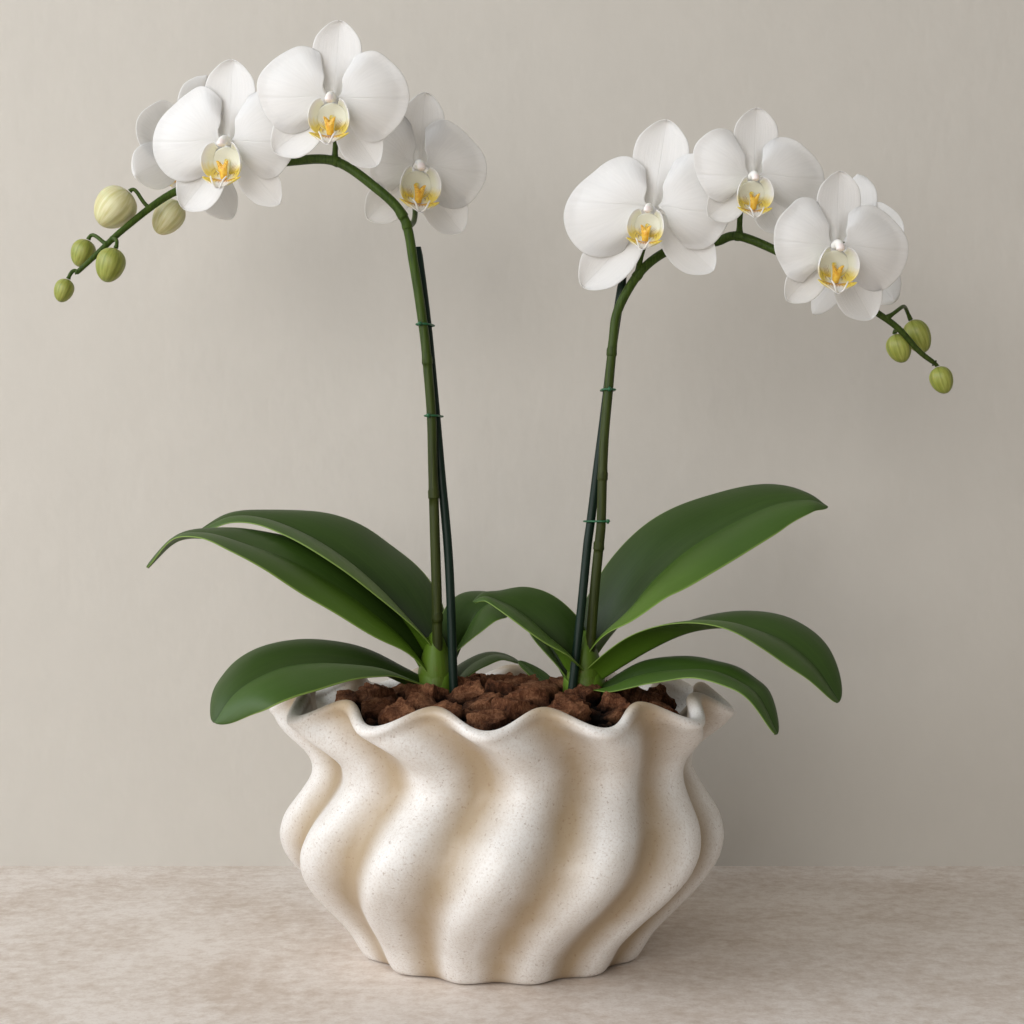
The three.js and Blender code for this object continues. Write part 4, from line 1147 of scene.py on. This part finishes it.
def bark_chip(draw, place, size, turn, cuts):
    """A blocky chip with uneven corners, rounded and torn."""
    chip = added(bpy.ops.mesh.primitive_cube_add, size=2)
    pulls = {corner: [0.65 + 0.35 * draw() for _ in range(3)] for corner in CORNERS}
    tip_x, tip_y = 0.9 * (draw() - 0.5), 0.9 * (draw() - 0.5)
    tipped = Matrix.Rotation(turn, 4, "Z") @ Matrix.Rotation(tip_y, 4, "Y") @ Matrix.Rotation(tip_x, 4, "X")
    placed = Matrix.Translation(place) @ tipped @ Matrix.Diagonal((*size, 1))
    for vertex in chip.data.vertices:
        pull = pulls[tuple(round(c) for c in vertex.co)]
        vertex.co = Vector(c * p for c, p in zip(vertex.co, pull))
    edit((bpy.ops.mesh.subdivide, {"number_cuts": cuts, "smoothness": 0.35}))
    chip.data.transform(placed)
    middle = Vector(place)
    for vertex in chip.data.vertices:
        out = (vertex.co - middle).normalized()
        crags = abs(noise.noise(vertex.co * 0.42)) * 2.6
        vertex.co += out * (lumps(vertex.co, 0.17, 3) - crags + 0.8)
    return chip


def scattered_chips(rule, count):
    """Chips at even steps of a spiral, each with its own size, height and turn."""
    draw = seeded_draw(rule["seed"])
    least_height, height_spread = rule["height"]
    turn_spread, turn_middle = rule["turn"]
    chips = []
    for i in range(count):
        size = [least + spread * draw() for least, spread in rule["size"]]
        radius = rule["reach"] * math.sqrt((i + rule["first"]) / count)
        angle = i * GOLDEN_ANGLE + rule["start"]
        height = bark_top(radius) + least_height + height_spread * draw()
        place = (radius * math.sin(angle), -radius * math.cos(angle), height)
        turn = angle + turn_spread * (draw() - turn_middle)
        chips.append(bark_chip(draw, place, size, turn, rule["cuts"]))
    return chips


def shade_clearance(point):
    """From 0 down between the chips, where the painted shade is darkest, to 1 on those that stand free."""
    return clamp01((point.z - bark_top(math.hypot(point.x, point.y)) - 1.5) / 9)


class OrchidBark(bpy.types.PropertyGroup):
    small_chips: IntProperty(
        name="Small chips", description="Chips that fill the gaps", default=SMALL_CHIPS["count"]
    )
    bark: colour("Bark", "Colour of the bark", 118, 74, 50)
    fibre: colour("Fibres", "Colour of the raised fibres", 184, 132, 96)


class OrchidMakeBark(bpy.types.Operator):
    """Fill the pot with chunky bark"""

    bl_idname = "orchid.make_bark"
    bl_label = "Bark"

    def execute(self, context):
        look = context.scene.orchid_bark
        edge, floor, clearance = BARK["edge"], BARK["floor"], BARK["clearance"]
        top = [(r, bark_top(r) - BARK["sunk"]) for r in range(0, 112, 8)]
        top += [(inner_radius(edge) - clearance, edge - 6)]
        sides = [(inner_radius(z) - clearance, z) for z in range(130, 17, -16)]
        bed = turned(top + sides + [(88, floor), (0, floor)], POT["lobes"] * 8)
        for vertex in bed.data.vertices:
            vertex.co = fluted(vertex.co)
        facing_out()
        for vertex in bed.data.vertices:
            if vertex.co.z > edge - 8 and math.hypot(vertex.co.x, vertex.co.y) < 108:
                vertex.co.z += lumps(vertex.co, 0.09, 3.5)
        paint_with(bed, soil_finish())
        skin = bark_finish(look)
        chips = scattered_chips(LARGE_CHIPS, LARGE_CHIPS["count"])
        chips += scattered_chips(SMALL_CHIPS, look.small_chips)
        for chip in chips:
            paint_with(chip, skin)
            # How far each point stands clear of the painted shade between the chips.
            mark(chip, "exposed", [shade_clearance(vertex.co) for vertex in chip.data.vertices])
        hand_over(joined([bed] + chips), "bark_chips", ["bark_bed"], "bark", 50)
        return {"FINISHED"}


# Leaves and crowns


def leaf_surface(leaf):
    """The leaf as surface(u, v): u from its rear edge to its front edge, v from its base to its tip."""
    midrib = leaf["midrib"]
    side = math.copysign(1, midrib[-1][0] - midrib[0][0])

    def surface(u, v):
        along = curve_tangent(midrib, v, 0.03)
        middle = curve_point(midrib, v)
        heading = curve_tangent(midrib, v, 0.2)
        rear = Vector((-heading.y * side, heading.x * side, 0))
        rear = rear / math.hypot(heading.x, heading.y)
        rear = (rear - along * rear.dot(along)).normalized()
        up = along.cross(rear) * side
        share = abs(u)
        lift = math.radians(blend(leaf["behind"] if u < 0 else leaf["front"], v))
        width = round_ended(leaf["width"], v)
        reach = width * share
        bow = 0.1 * width * 4 * share * (1 - share)
        out = rear * ((1 if u < 0 else -1) * (reach * math.cos(lift) - bow * math.sin(lift)))
        return middle + out + up * (reach * math.sin(lift) + bow * math.cos(lift))

    return surface


class OrchidLeaves(bpy.types.PropertyGroup):
    thickness: length("Thickness", "Of a leaf at its midrib", 2 * MM)
    rear: colour("Rear half", "Colour of a leaf's rear half", 40, 64, 12)
    front: colour("Front half", "Colour of a leaf's front half", 58, 86, 28)
    vein: colour("Veins", "Colour of the lengthwise veins", 70, 98, 34)
    base: colour("Base", "Colour at a leaf's base", 92, 126, 26)
    margin: colour("Margin", "Colour of a leaf's thin edge", 132, 158, 74)
    underside: colour("Underside", "Colour under a leaf", 70, 98, 16)
    keel: colour("Keel", "Colour of the midrib under a leaf", 106, 140, 34)
    sheath: colour("Sheaths", "Colour of the crown's sheaths", 80, 94, 24)


class OrchidMakeLeaves(bpy.types.Operator):
    """Make the eleven leaves"""

    bl_idname = "orchid.make_leaves"
    bl_label = "Leaves"

    def execute(self, context):
        look = context.scene.orchid_leaves
        top = leaf_finish("leaf_upper_face", look, 0.9)
        # A shaded copy of the upper face, its pale base kept faint as painted shade.
        shaded_foot_top = leaf_finish("shaded_foot_leaf_face", look, 0.15)
        underside = leaf_back_finish(look)
        for name, leaf in LEAVES.items():
            across, along = (12, 24) if len(leaf["midrib"]) < 7 else (20, 52)
            piece = blade(
                leaf_surface(leaf), across, along, (0, 0, 1), look.thickness / MM,
                lambda u, v: 1 - 0.62 * u * u, crowding=1.5,
            )
            paint_with(piece, shaded_foot_top if name in SHADED_FOOT_LEAVES else top, underside)
            hand_over(piece, name + "_blade", [name], "leaf")
        return {"FINISHED"}


class OrchidMakeCrowns(bpy.types.Operator):
    """Make the two crowns of sheathing leaf bases"""

    bl_idname = "orchid.make_crowns"
    bl_label = "Crowns"

    def execute(self, context):
        skin = crown_finish(context.scene.orchid_leaves)
        for side in SIDES:
            x, y = CROWNS[side]
            sheaths = [sheath(x, y, order) for order in range(SHEATHS)]
            crown = paint_with(joined([crown_core(x, y)] + sheaths), skin, skin)
            hand_over(crown, side + "_crown_sheaths", [side + "_crown"], "crown")
        return {"FINISHED"}


def crown_core(x, y):
    """The plain stub that the sheaths clasp."""
    core = added(bpy.ops.mesh.primitive_uv_sphere_add, segments=28, ring_count=20, radius=1)
    for vertex in core.data.vertices:
        height, half_length, half_depth = curve_point(CROWN_RINGS, (vertex.co.z + 1) / 2)
        flat = Vector((vertex.co.x, vertex.co.y))
        way = flat.normalized() * math.sqrt(min(1, flat.length * 1.6))
        vertex.co = (x + way.x * half_length, y + way.y * half_depth, height)
    return core


def sheath(x, y, order):
    """One leaf's foot, clasping the crown from one side; the lower ones lie outside."""
    middle_angle = 0 if order % 2 else math.pi
    foot = 146 + 8 * order
    height = 30 - 1.5 * order
    lowest, highest = CROWN_RINGS[0][0], CROWN_RINGS[-1][0]

    def surface(u, v):
        angle = middle_angle + u * math.radians(112 - 34 * v * v)
        out = 0.9 + 0.3 * (SHEATHS - 1 - order) + 1.6 * v * v * (1 - u * u)
        ring = curve_point(CROWN_RINGS, (foot + height * v - lowest) / (highest - lowest))
        half_length, half_depth = ring.y + out, ring.z + out
        z = foot + height * v * (1 - 0.35 * u * u)
        return Vector((x + half_length * math.cos(angle), y + half_depth * math.sin(angle), z))

    front = (math.cos(middle_angle), 0, 0)
    return blade(surface, 22, 12, front, 1.1, lambda u, v: 1 - 0.7 * v)


# Spikes, stakes and ties


def spike_radius(spike, t):
    """Radius of a spike: its stem, a collar over each bract's foot, and a rounded tip."""
    extra = 0
    for start in spike["cuffs"]:
        if start - 1e-6 <= t < start + CUFF_LENGTH:
            extra = CUFF_HEIGHT * (1 - (t - start) / CUFF_LENGTH) ** 2
    ending = clamp01((1 - t) / SPIKE_TIP)
    return (blend(spike["radii"], t) + extra) * math.sqrt(ending * (2 - ending) + 1e-4)


def spike_stations(spike):
    """Where a spike's rings lie: evenly, at each side of a collar's step, and closer round its tip."""
    collars = {start + shift for start in spike["cuffs"] for shift in (-1e-4, 1e-4, CUFF_LENGTH)}
    tip = {1 - SPIKE_TIP * (1 - i / 6) ** 2 for i in range(1, 6)}
    return sorted({*even_steps(130), *collars, *tip})


def stalk(spike, kind, end, arrival, radius):
    """A stalk that leaves the spike and turns into the back of a flower or the foot of a bud."""
    root = curve_point(spike["points"], kind["origin"])
    length = (end - root).length
    departure = root + Vector(kind["first"]) * length
    approach = end - arrival * (0.4 * length)

    def at(t):
        s = 1 - t
        return root * s**3 + departure * (3 * s * s * t) + approach * (3 * s * t * t) + end * t**3

    def radius_at(t):
        swollen_ends = 0.9 * (1 - smooth_step(0, 0.12, t)) + 0.35 * smooth_step(0.86, 1, t)
        return radius * (1.1 - 0.1 * t) + swollen_ends

    return tube([tuple(at(t)) for t in even_steps(10)], radius_at, even_steps(24), 4)


def flower_matrix(bloom, share=1.0, aside=0.0):
    """From a flower 100 wide to its place on the plant, at a share of its size and moved aside."""
    nod = Euler((math.radians(bloom["nod"]), 0, 0)).to_matrix()
    roll = Euler((0, math.radians(bloom["roll"]), 0)).to_matrix()
    turn = Euler((0, 0, math.radians(bloom["turn"]))).to_matrix()
    spun = (turn @ nod @ roll).to_4x4() @ Matrix.Scale(bloom["width"] / 100, 4)
    return Matrix.Translation(bloom["at"]) @ spun @ Matrix.Translation((aside, 0, 0)) @ Matrix.Scale(share, 4)


def bract(spike, t, turn):
    """The dry scale that clasps a node of the spike, ending in a point."""
    middle = curve_point(spike["points"], t)
    along = curve_tangent(spike["points"], t)
    across = Vector((0, 1, 0)).cross(along).normalized()
    over = along.cross(across)
    radius = blend(spike["radii"], t)

    def surface(u, v):
        angle = turn + u * math.radians(125) * (1 - v) ** 0.7
        out = radius + 0.2 + 0.35 * v
        ring = across * math.cos(angle) + over * math.sin(angle)
        return middle + ring * out + along * (2.1 * radius * v - 1)

    front = across * math.cos(turn) + over * math.sin(turn)
    return blade(surface, 12, 8, front, 0.5, lambda u, v: 1 - 0.5 * v, crowding=1.6)


class OrchidStems(bpy.types.PropertyGroup):
    stem: colour("Stem", "Colour of a spike's upper part", 44, 64, 16)
    stem_foot: colour("Stem foot", "Colour of a spike's lower part", 42, 50, 18)
    stake: colour("Stake", "Colour of the stakes", 14, 32, 22)


class OrchidMakeSpikes(bpy.types.Operator):
    """Make the two flower spikes with their stalks and bracts"""

    bl_idname = "orchid.make_spikes"
    bl_label = "Spikes"

    def execute(self, context):
        skin = spike_finish(context.scene.orchid_stems)
        for side in SIDES:
            spike = SPIKES[side]
            parts = [tube(spike["points"], lambda t: spike_radius(spike, t), spike_stations(spike), 6)]
            for bloom in BLOOMS[side]:
                matrix = flower_matrix(bloom)
                back = HEART_MIDDLE[1] + HEART_HALF[1]
                end = matrix @ Vector((0, back + GAP, 0))
                arrival = (end - matrix @ Vector((0, back + 10, 0))).normalized()
                parts.append(stalk(spike, bloom, end, arrival, FLOWER_STALK_RADIUS))
                parts.append(bract(spike, bloom["origin"] - 0.004, -1.4))
            for bud in BUDS[side]:
                arrival = (Vector(bud["tip"]) - Vector(bud["foot"])).normalized()
                end = Vector(bud["foot"]) - arrival * GAP
                parts.append(stalk(spike, bud, end, arrival, BUD_STALK_RADIUS))
            for i, start in enumerate(spike["cuffs"]):
                parts.append(bract(spike, start, -1.6 + 0.5 * (-1) ** i))
            piece = paint_with(joined(parts), skin, skin)
            hand_over(piece, side + "_flower_spike", [side + "_spike"], "spike")
        return {"FINISHED"}


class OrchidMakeStakes(bpy.types.Operator):
    """Make the two stakes and the four ties"""

    bl_idname = "orchid.make_stakes"
    bl_label = "Stakes and ties"

    def execute(self, context):
        rod_skin = stake_finish(context.scene.orchid_stems)
        wire_skin = tie_finish()
        for side in SIDES:
            rod = tube(STAKES[side], lambda t: STAKE_RADIUS - (0.5 if t in (0, 1) else 0), even_steps(60), 5)
            paint_with(rod, rod_skin)
            hand_over(rod, side + "_stake_rod", [side + "_stake"], "stake", 40)
            for i, height in enumerate(TIES[side]):
                name = f"{side}_tie_{i + 1}"
                wire = paint_with(tie(SPIKES[side]["points"], STAKES[side], height), wire_skin)
                hand_over(wire, name + "_wire", [name], "tie")
        return {"FINISHED"}


def tie(stem, stake, height):
    """A wire ring round a stem and its stake, with its twisted end."""
    a, b = point_at_height(stem, height), point_at_height(stake, height)
    along = (b - a).normalized()
    reach = STEM_RADIUS + TIE_WIRE + GAP
    ring = added(
        bpy.ops.mesh.primitive_torus_add,
        major_radius=reach, minor_radius=TIE_WIRE, major_segments=48, minor_segments=10,
    )
    for vertex in ring.data.vertices:
        vertex.co.x += math.copysign((b - a).length / 2, vertex.co.x) if abs(vertex.co.x) > 1e-4 else 0
    turn = Matrix.Rotation(math.atan2(along.y, along.x), 4, "Z")
    ring.data.transform(Matrix.Translation((a + b) / 2) @ turn)
    end = a - along * (reach + 0.9)
    knot = added(bpy.ops.mesh.primitive_ico_sphere_add, subdivisions=2, radius=1.45, location=end)
    bpy.ops.object.transform_apply(location=True, rotation=True, scale=True)
    for vertex in knot.data.vertices:
        vertex.co += (vertex.co - end) * (0.25 * math.sin(5 * vertex.co.z))
    return joined([ring, knot])


# Blooms and buds


def petal_surface(side, petal, phase):
    """A petal as surface(u, v): u from its lowest to its highest edge, v from its foot outwards."""
    claw_x, claw_y, claw_z = PETAL_CLAW
    low, high, reaches = petal
    middle, half = (low + high) / 2, (high - low) / 2

    def surface(u, v):
        angle = middle + u * half * (0.3 + 0.7 * smooth_step(0, 0.45, v))
        reach = (0.06 + 0.94 * v) * blend(reaches, (u + 1) / 2)
        wave = 1.2 * v**3 * math.sin(4.6 * u + phase) + 0.5 * v**4 * math.sin(11 * u + 2 * phase)
        bowl = 5 * v * v - 3 * math.sin(math.pi * min(v * 1.15, 1))
        ridge = 2 * v * (1 - 0.6 * v) * bell(angle - 8, 26)
        depth = claw_y + bowl + wave + 1.6 * u * u * v - ridge
        spoke = math.radians(angle)
        return Vector((side * (claw_x + reach * math.cos(spoke)), depth, claw_z + reach * math.sin(spoke)))

    return surface


def sepal_surface(sepal, deep, upright):
    """A sepal as surface(u, v), ridged along its middle, or hollowed there low down where upright."""
    angle, length, width = sepal
    sine, cosine = math.sin(math.radians(angle)), math.cos(math.radians(angle))

    def surface(u, v):
        along = 1 + (length - 1) * v
        across = u * width / 2 * round_ended(SEPAL_OUTLINE, v)
        depth = deep + 4 * v * v - 2.4 * u * u * v
        if upright:
            depth += 1.6 * (1 - abs(u)) * v - 3.4 * bell(u, 0.34) * (1 - smooth_step(0.15, 0.62, v))
        else:
            depth += 2.6 * (1 - abs(u)) * math.sin(math.pi * v**1.3)
        return Vector((along * cosine - across * sine, depth, along * sine + across * cosine))

    return surface


def thin_rim(u, v):
    return 1 - 0.45 * smooth_step(0.7, 1, max(abs(u), v))


def petal_blade(surface, across, **settings):
    return blade(surface, across, 20, (0, -1, 0), PETAL_THICKNESS, thin_rim, **settings)


def make_perianth(bloom, phase, skins):
    """The petals and sepals of a flower 100 wide."""
    petal_face, petal_back, sepal_face, sepal_back = skins
    parts = []
    for side, petal in zip((-1, 1), bloom["petals"]):
        low, high, _ = petal
        surface = petal_surface(side, petal, phase + side)
        piece = petal_blade(surface, 26, flow=lambda u: 0.5 + (low + high + u * (high - low)) / 360)
        parts.append(paint_with(piece, petal_face, petal_back))
    for sepal, deep, upright in zip(bloom["sepals"], SEPAL_DEEP, (True, False, False)):
        piece = petal_blade(sepal_surface(sepal, deep, upright), 11, crowding=2.0)
        parts.append(paint_with(piece, sepal_face, sepal_back))
    heart = added(
        bpy.ops.mesh.primitive_uv_sphere_add, segments=20, ring_count=12, radius=1, location=HEART_MIDDLE
    )
    heart.scale = [0.62 * h for h in HEART_HALF]
    bpy.ops.object.transform_apply(location=True, rotation=True, scale=True)
    return joined(parts + [paint_with(heart, petal_back)])


def cup_surface(u, v):
    """The band of the two side lobes, flaring towards the front."""
    middle = curve_point(CUP_BAND, v)
    flare = 1 + 0.17 * u - 0.05 * u * u
    depth = middle.y - blend(CUP_DEPTH, v) * u
    return Vector((middle.x * flare, depth, CUP_MIDDLE + (middle.z - CUP_MIDDLE) * flare))


def throat_surface(u, v):
    """The hollow back of the cup, a square grid drawn out to an oval."""
    w = 2 * v - 1
    x, z = u * math.sqrt(1 - w * w / 2), w * math.sqrt(1 - u * u / 2)
    back, height = THROAT_MIDDLE
    return Vector((THROAT_HALF[0] * x, back - 1.6 * (x * x + z * z), height + THROAT_HALF[1] * z))


def callus_surface(u, v):
    """The raised orange callus: narrow below, with a notch between two blunt horns above."""
    half = blend(CALLUS_HALF, v)
    back = CALLUS_FOOT[0] + (CALLUS_TOP[0] - CALLUS_FOOT[0]) * v
    height = CALLUS_FOOT[1] + (CALLUS_TOP[1] - CALLUS_FOOT[1]) * v
    notch = 3.4 * v**3 * bell(u, 0.42)
    swell = 1.4 * (1 - u * u) * math.sin(math.pi * clamp01(v + 0.15))
    return Vector((u * half, back - swell, height - notch))


def middle_lobe_surface(u, v):
    """The lobe that juts forwards and down, its edges raised."""
    half = round_ended(MIDDLE_LOBE_HALF, v)
    raised = 5 * u * u * math.sin(math.pi * v)
    return Vector((u * half, -10.6 - 10.4 * v, -20.8 - 5.2 * v + raised))


def make_lip(look):
    """The lip of a flower 100 wide: its cup and throat, middle lobe with two tendrils, callus and claw."""
    cup = blade(cup_surface, 14, 52, (0, 0, 1), 0.9, lambda u, v: 1 - 0.3 * smooth_step(0.3, 1, abs(u)))
    throat = blade(throat_surface, 16, 16, (0, -1, 0), 0.8)
    lobe = blade(middle_lobe_surface, 18, 18, (0, 0, 1), 1, thin_rim, crowding=1.6)
    callus = blade(callus_surface, 14, 16, (0, -1, 0), 2.8, lambda u, v: 1 - 0.4 * max(abs(u), v))
    claw = tube(CLAW, lambda t: 2.6 - 0.8 * t, even_steps(8), 3)
    tendrils = [
        tube([(side * x, y, z) for x, y, z in TENDRIL], lambda t: 0.75 - 0.25 * t, even_steps(14), 2)
        for side in (-1, 1)
    ]
    throat_skin, white_skin = throat_finish(look), tendril_finish(look)
    paint_with(cup, cup_finish(look))
    paint_with(throat, throat_skin)
    paint_with(lobe, middle_lobe_finish(look))
    paint_with(callus, callus_finish(look))
    paint_with(claw, throat_skin)
    for tendril in tendrils:
        paint_with(tendril, white_skin)
    return joined([cup, throat, lobe, callus, claw, *tendrils])


def make_column(look):
    """One smooth club, its anther cap blushed and the hollow under it darker."""

    def radius_at(t):
        past = clamp01((t - 1 + COLUMN_ROUNDING) / COLUMN_ROUNDING)
        return blend(COLUMN_RADII, t) * math.sqrt(max(1 - past * past, 0.004))

    stations = even_steps(18)[:14] + [1 - COLUMN_ROUNDING * (1 - i / 9) ** 1.6 for i in range(1, 10)]
    column = tube(COLUMN_POINTS, radius_at, sorted(stations), 7)
    for name, (middle, reach) in COLUMN_MARKS.items():
        away = [(vertex.co - Vector(middle)).length for vertex in column.data.vertices]
        mark(column, name, [bell(distance, reach) for distance in away])
    return paint_with(column, column_finish(look))


def copy_of(template):
    """A copy with its own mesh."""
    select_only(template)
    bpy.ops.object.duplicate()
    return bpy.context.object


class OrchidBlooms(bpy.types.PropertyGroup):
    petal: colour("Petals", "Colour of the petals", 230, 229, 227)
    # Darker greenish tan behind the sepals of the two blooms that face away, as painted shade.
    greenish: colour("Young sepals", "Colour behind the sepals of the newest blooms", 206, 202, 158)
    throat: colour("Throat", "Colour inside the lip's cup", 236, 238, 218)
    veins: strength("Veins", "Strength of the petals' veins", 0.85)
    lip: colour("Lip", "Yellow of the lip", 234, 204, 66)
    callus: colour("Callus", "Colour of the lip's callus", 222, 158, 40)
    wine: colour("Lip streaks", "Wine-red streaks of the lip", 138, 72, 58)
    blush: colour("Column cap", "Blush of the column", 244, 222, 218)


class OrchidMakeBlooms(bpy.types.Operator):
    """Make the eight blooms, each of petals with sepals, a lip and a column"""

    bl_idname = "orchid.make_blooms"
    bl_label = "Blooms"

    def execute(self, context):
        look = context.scene.orchid_blooms
        back = petal_finish("petal_back", look, 0.35, look.petal)
        face = petal_finish("petal_face", look, 0, look.petal)
        sepal_face = petal_finish("sepal_face", look, 0.12, look.petal)
        # Sepal backs of the blooms that face away, painted darker and greener as shade.
        greenish = petal_finish("shaded_sepal_back", look, 0.6, look.greenish)
        lip, column = make_lip(look), make_column(look)
        for side in SIDES:
            for i, bloom in enumerate(BLOOMS[side]):
                name = f"{side}_bloom_{i + 1}"
                skins = (face, back, sepal_face, greenish if name in SHADED_SEPAL_BLOOMS else back)
                petals = make_perianth(bloom, 1.7 * i + (side == "right"), skins)
                whole = flower_matrix(bloom)
                hand_over(petals, name + "_petals_shaped", [name + "_petals"], "petal", matrix=whole)
                inner = flower_matrix(bloom, bloom["lip"], bloom["aside"])
                for template, part in ((lip, "lip"), (column, "column")):
                    node = f"{name}_{part}"
                    hand_over(copy_of(template), node + "_shaped", [node], part, matrix=inner)
        select_only(lip, column)
        bpy.ops.object.delete()
        return {"FINISHED"}


class OrchidBuds(bpy.types.PropertyGroup):
    green: colour("Young buds", "Colour of the young buds", 120, 128, 42)
    pale: colour("Ripe buds", "Colour of the ripe buds", 190, 184, 124)


class OrchidMakeBuds(bpy.types.Operator):
    """Make the eight buds"""

    bl_idname = "orchid.make_buds"
    bl_label = "Buds"

    def execute(self, context):
        look = context.scene.orchid_buds
        young = bud_finish("young_bud", look.green, paint(186, 190, 104), paint(92, 104, 30))
        ripe = bud_finish("ripe_bud", look.pale, paint(238, 236, 206), paint(168, 164, 96))
        for side in SIDES:
            for i, bud in enumerate(BUDS[side]):
                name = f"{side}_bud_{i + 1}"
                piece = paint_with(make_bud(bud), ripe if name in PALE_BUDS else young)
                hand_over(piece, name + "_closed", [name], "bud")
        return {"FINISHED"}


def make_bud(bud):
    """A closed bud, blunt and widest towards its foot, with three faint seams."""
    foot, tip = Vector(bud["foot"]), Vector(bud["tip"])
    along = tip - foot
    across = Vector((0, 1, 0)).cross(along).normalized()
    over = along.normalized().cross(across)
    piece = added(bpy.ops.mesh.primitive_uv_sphere_add, segments=72, ring_count=28, radius=1)
    seams = []
    for vertex in piece.data.vertices:
        t = (1 - vertex.co.z) / 2
        angle = math.atan2(vertex.co.y, vertex.co.x)
        seam_angle = (angle * 3 / (2 * math.pi) + 0.12 + 0.5) % 1 - 0.5
        seam = bell(seam_angle, 0.05) * smooth_step(0.04, 0.3, t)
        seams.append(seam)
        share = math.sqrt(1 - abs(2 * t - 1) ** BUD_ROUNDNESS) * (1 + BUD_TAPER * (0.5 - t))
        radius = bud["radius"] * share * (1 + 0.04 * math.cos(3 * angle) - 0.05 * seam)
        flat = across * math.cos(angle) + over * math.sin(angle)
        vertex.co = foot + along * t + flat * radius
    facing_out()
    mark(piece, "seam", seams)
    return piece


# Stage


class OrchidStage(bpy.types.PropertyGroup):
    floor: colour("Floor", "Colour of the floor", 236, 227, 219)
    floor_shade: colour("Floor veins", "Darker colour in the floor", 206, 190, 176)
    wall: colour("Wall", "Colour of the wall", 205, 200, 191)
    wall_distance: length("Wall distance", "From the pot's axis back to the wall", 0.241)
    camera_distance: length("Camera distance", "From the pot's axis", 1.055)
    camera_height: length("Camera height", "Above the floor", 0.283)
    lens: FloatProperty(name="Lens", description="Focal length in millimetres", default=57)
    key_light: power("Key light", "Power of the light from the left", 54)
    fill_light: power("Fill light", "Power of the light from the front", 26)


def soft_light(name, watts):
    """A round light that faces the plant."""
    place, size, tint = LIGHTS[name]
    light = added(bpy.ops.object.light_add, type="AREA", location=place)
    light.name = name
    light.rotation_euler = (Vector(LIT_POINT) - Vector(place)).to_track_quat("-Z", "Y").to_euler()
    light.data.shape = "DISK"
    light.data.size = size
    light.data.energy = watts
    light.data.color = tint


class OrchidMakeStage(bpy.types.Operator):
    """Set the floor, wall, lights and camera"""

    bl_idname = "orchid.make_stage"
    bl_label = "Stage"

    def execute(self, context):
        look = context.scene.orchid_stage
        back = look.wall_distance
        plane = bpy.ops.mesh.primitive_plane_add
        floor = added(plane, size=STAGE_SIZE, location=(0, back - STAGE_SIZE / 2, 0))
        floor.name = "floor"
        paint_with(floor, floor_finish(look))
        upright = (math.pi / 2, 0, 0)
        wall = added(plane, size=STAGE_SIZE, location=(0, back, WALL_MIDDLE), rotation=upright)
        wall.name = "backdrop"
        bpy.ops.object.transform_apply(location=True, rotation=True, scale=True)
        paint_with(wall, wall_finish(look))
        soft_light("key", look.key_light)
        soft_light("fill", look.fill_light)
        place = (CAMERA_ASIDE, -look.camera_distance, look.camera_height)
        camera = added(bpy.ops.object.camera_add, location=place)
        camera.rotation_euler = upright
        camera.data.lens = look.lens
        camera.data.sensor_width = SENSOR_WIDTH
        context.scene.camera = camera
        world = bpy.data.worlds.new("studio")
        world.use_nodes = True
        background = world.node_tree.nodes["Background"]
        background.inputs["Color"].default_value = ROOM_COLOUR
        background.inputs["Strength"].default_value = ROOM_STRENGTH
        context.scene.world = world
        context.scene.view_settings.view_transform = "Standard"
        return {"FINISHED"}


SETTINGS = {
    "orchid_pot": OrchidPot,
    "orchid_bark": OrchidBark,
    "orchid_leaves": OrchidLeaves,
    "orchid_stems": OrchidStems,
    "orchid_blooms": OrchidBlooms,
    "orchid_buds": OrchidBuds,
    "orchid_stage": OrchidStage,
}
OPERATORS = [
    OrchidMakePot,
    OrchidMakeBark,
    OrchidMakeCrowns,
    OrchidMakeLeaves,
    OrchidMakeSpikes,
    OrchidMakeStakes,
    OrchidMakeBlooms,
    OrchidMakeBuds,
    OrchidMakeStage,
]


class ORCHID_PT_panel(bpy.types.Panel):
    """Lists the orchid's pieces and what can be set on them"""

    bl_label = "Potted moth orchid"
    bl_space_type = "VIEW_3D"
    bl_region_type = "UI"
    bl_category = "Orchid"

    def draw(self, context):
        for operator in OPERATORS:
            self.layout.operator(operator.bl_idname)
        for name, group in SETTINGS.items():
            box = self.layout.box()
            box.label(text=name.replace("orchid_", "").capitalize())
            for key in group.__annotations__:
                box.prop(getattr(context.scene, name), key)


def register():
    for cls in [*SETTINGS.values(), *OPERATORS, ORCHID_PT_panel]:
        bpy.utils.register_class(cls)
    for name, group in SETTINGS.items():
        setattr(bpy.types.Scene, name, bpy.props.PointerProperty(type=group))


def unregister():
    for name in SETTINGS:
        delattr(bpy.types.Scene, name)
    for cls in reversed([*SETTINGS.values(), *OPERATORS, ORCHID_PT_panel]):
        bpy.utils.unregister_class(cls)


def main():
    register()
    for operator in OPERATORS:
        category, name = operator.bl_idname.split(".")
        getattr(getattr(bpy.ops, category), name)()


if __name__ == "__main__":
    main()
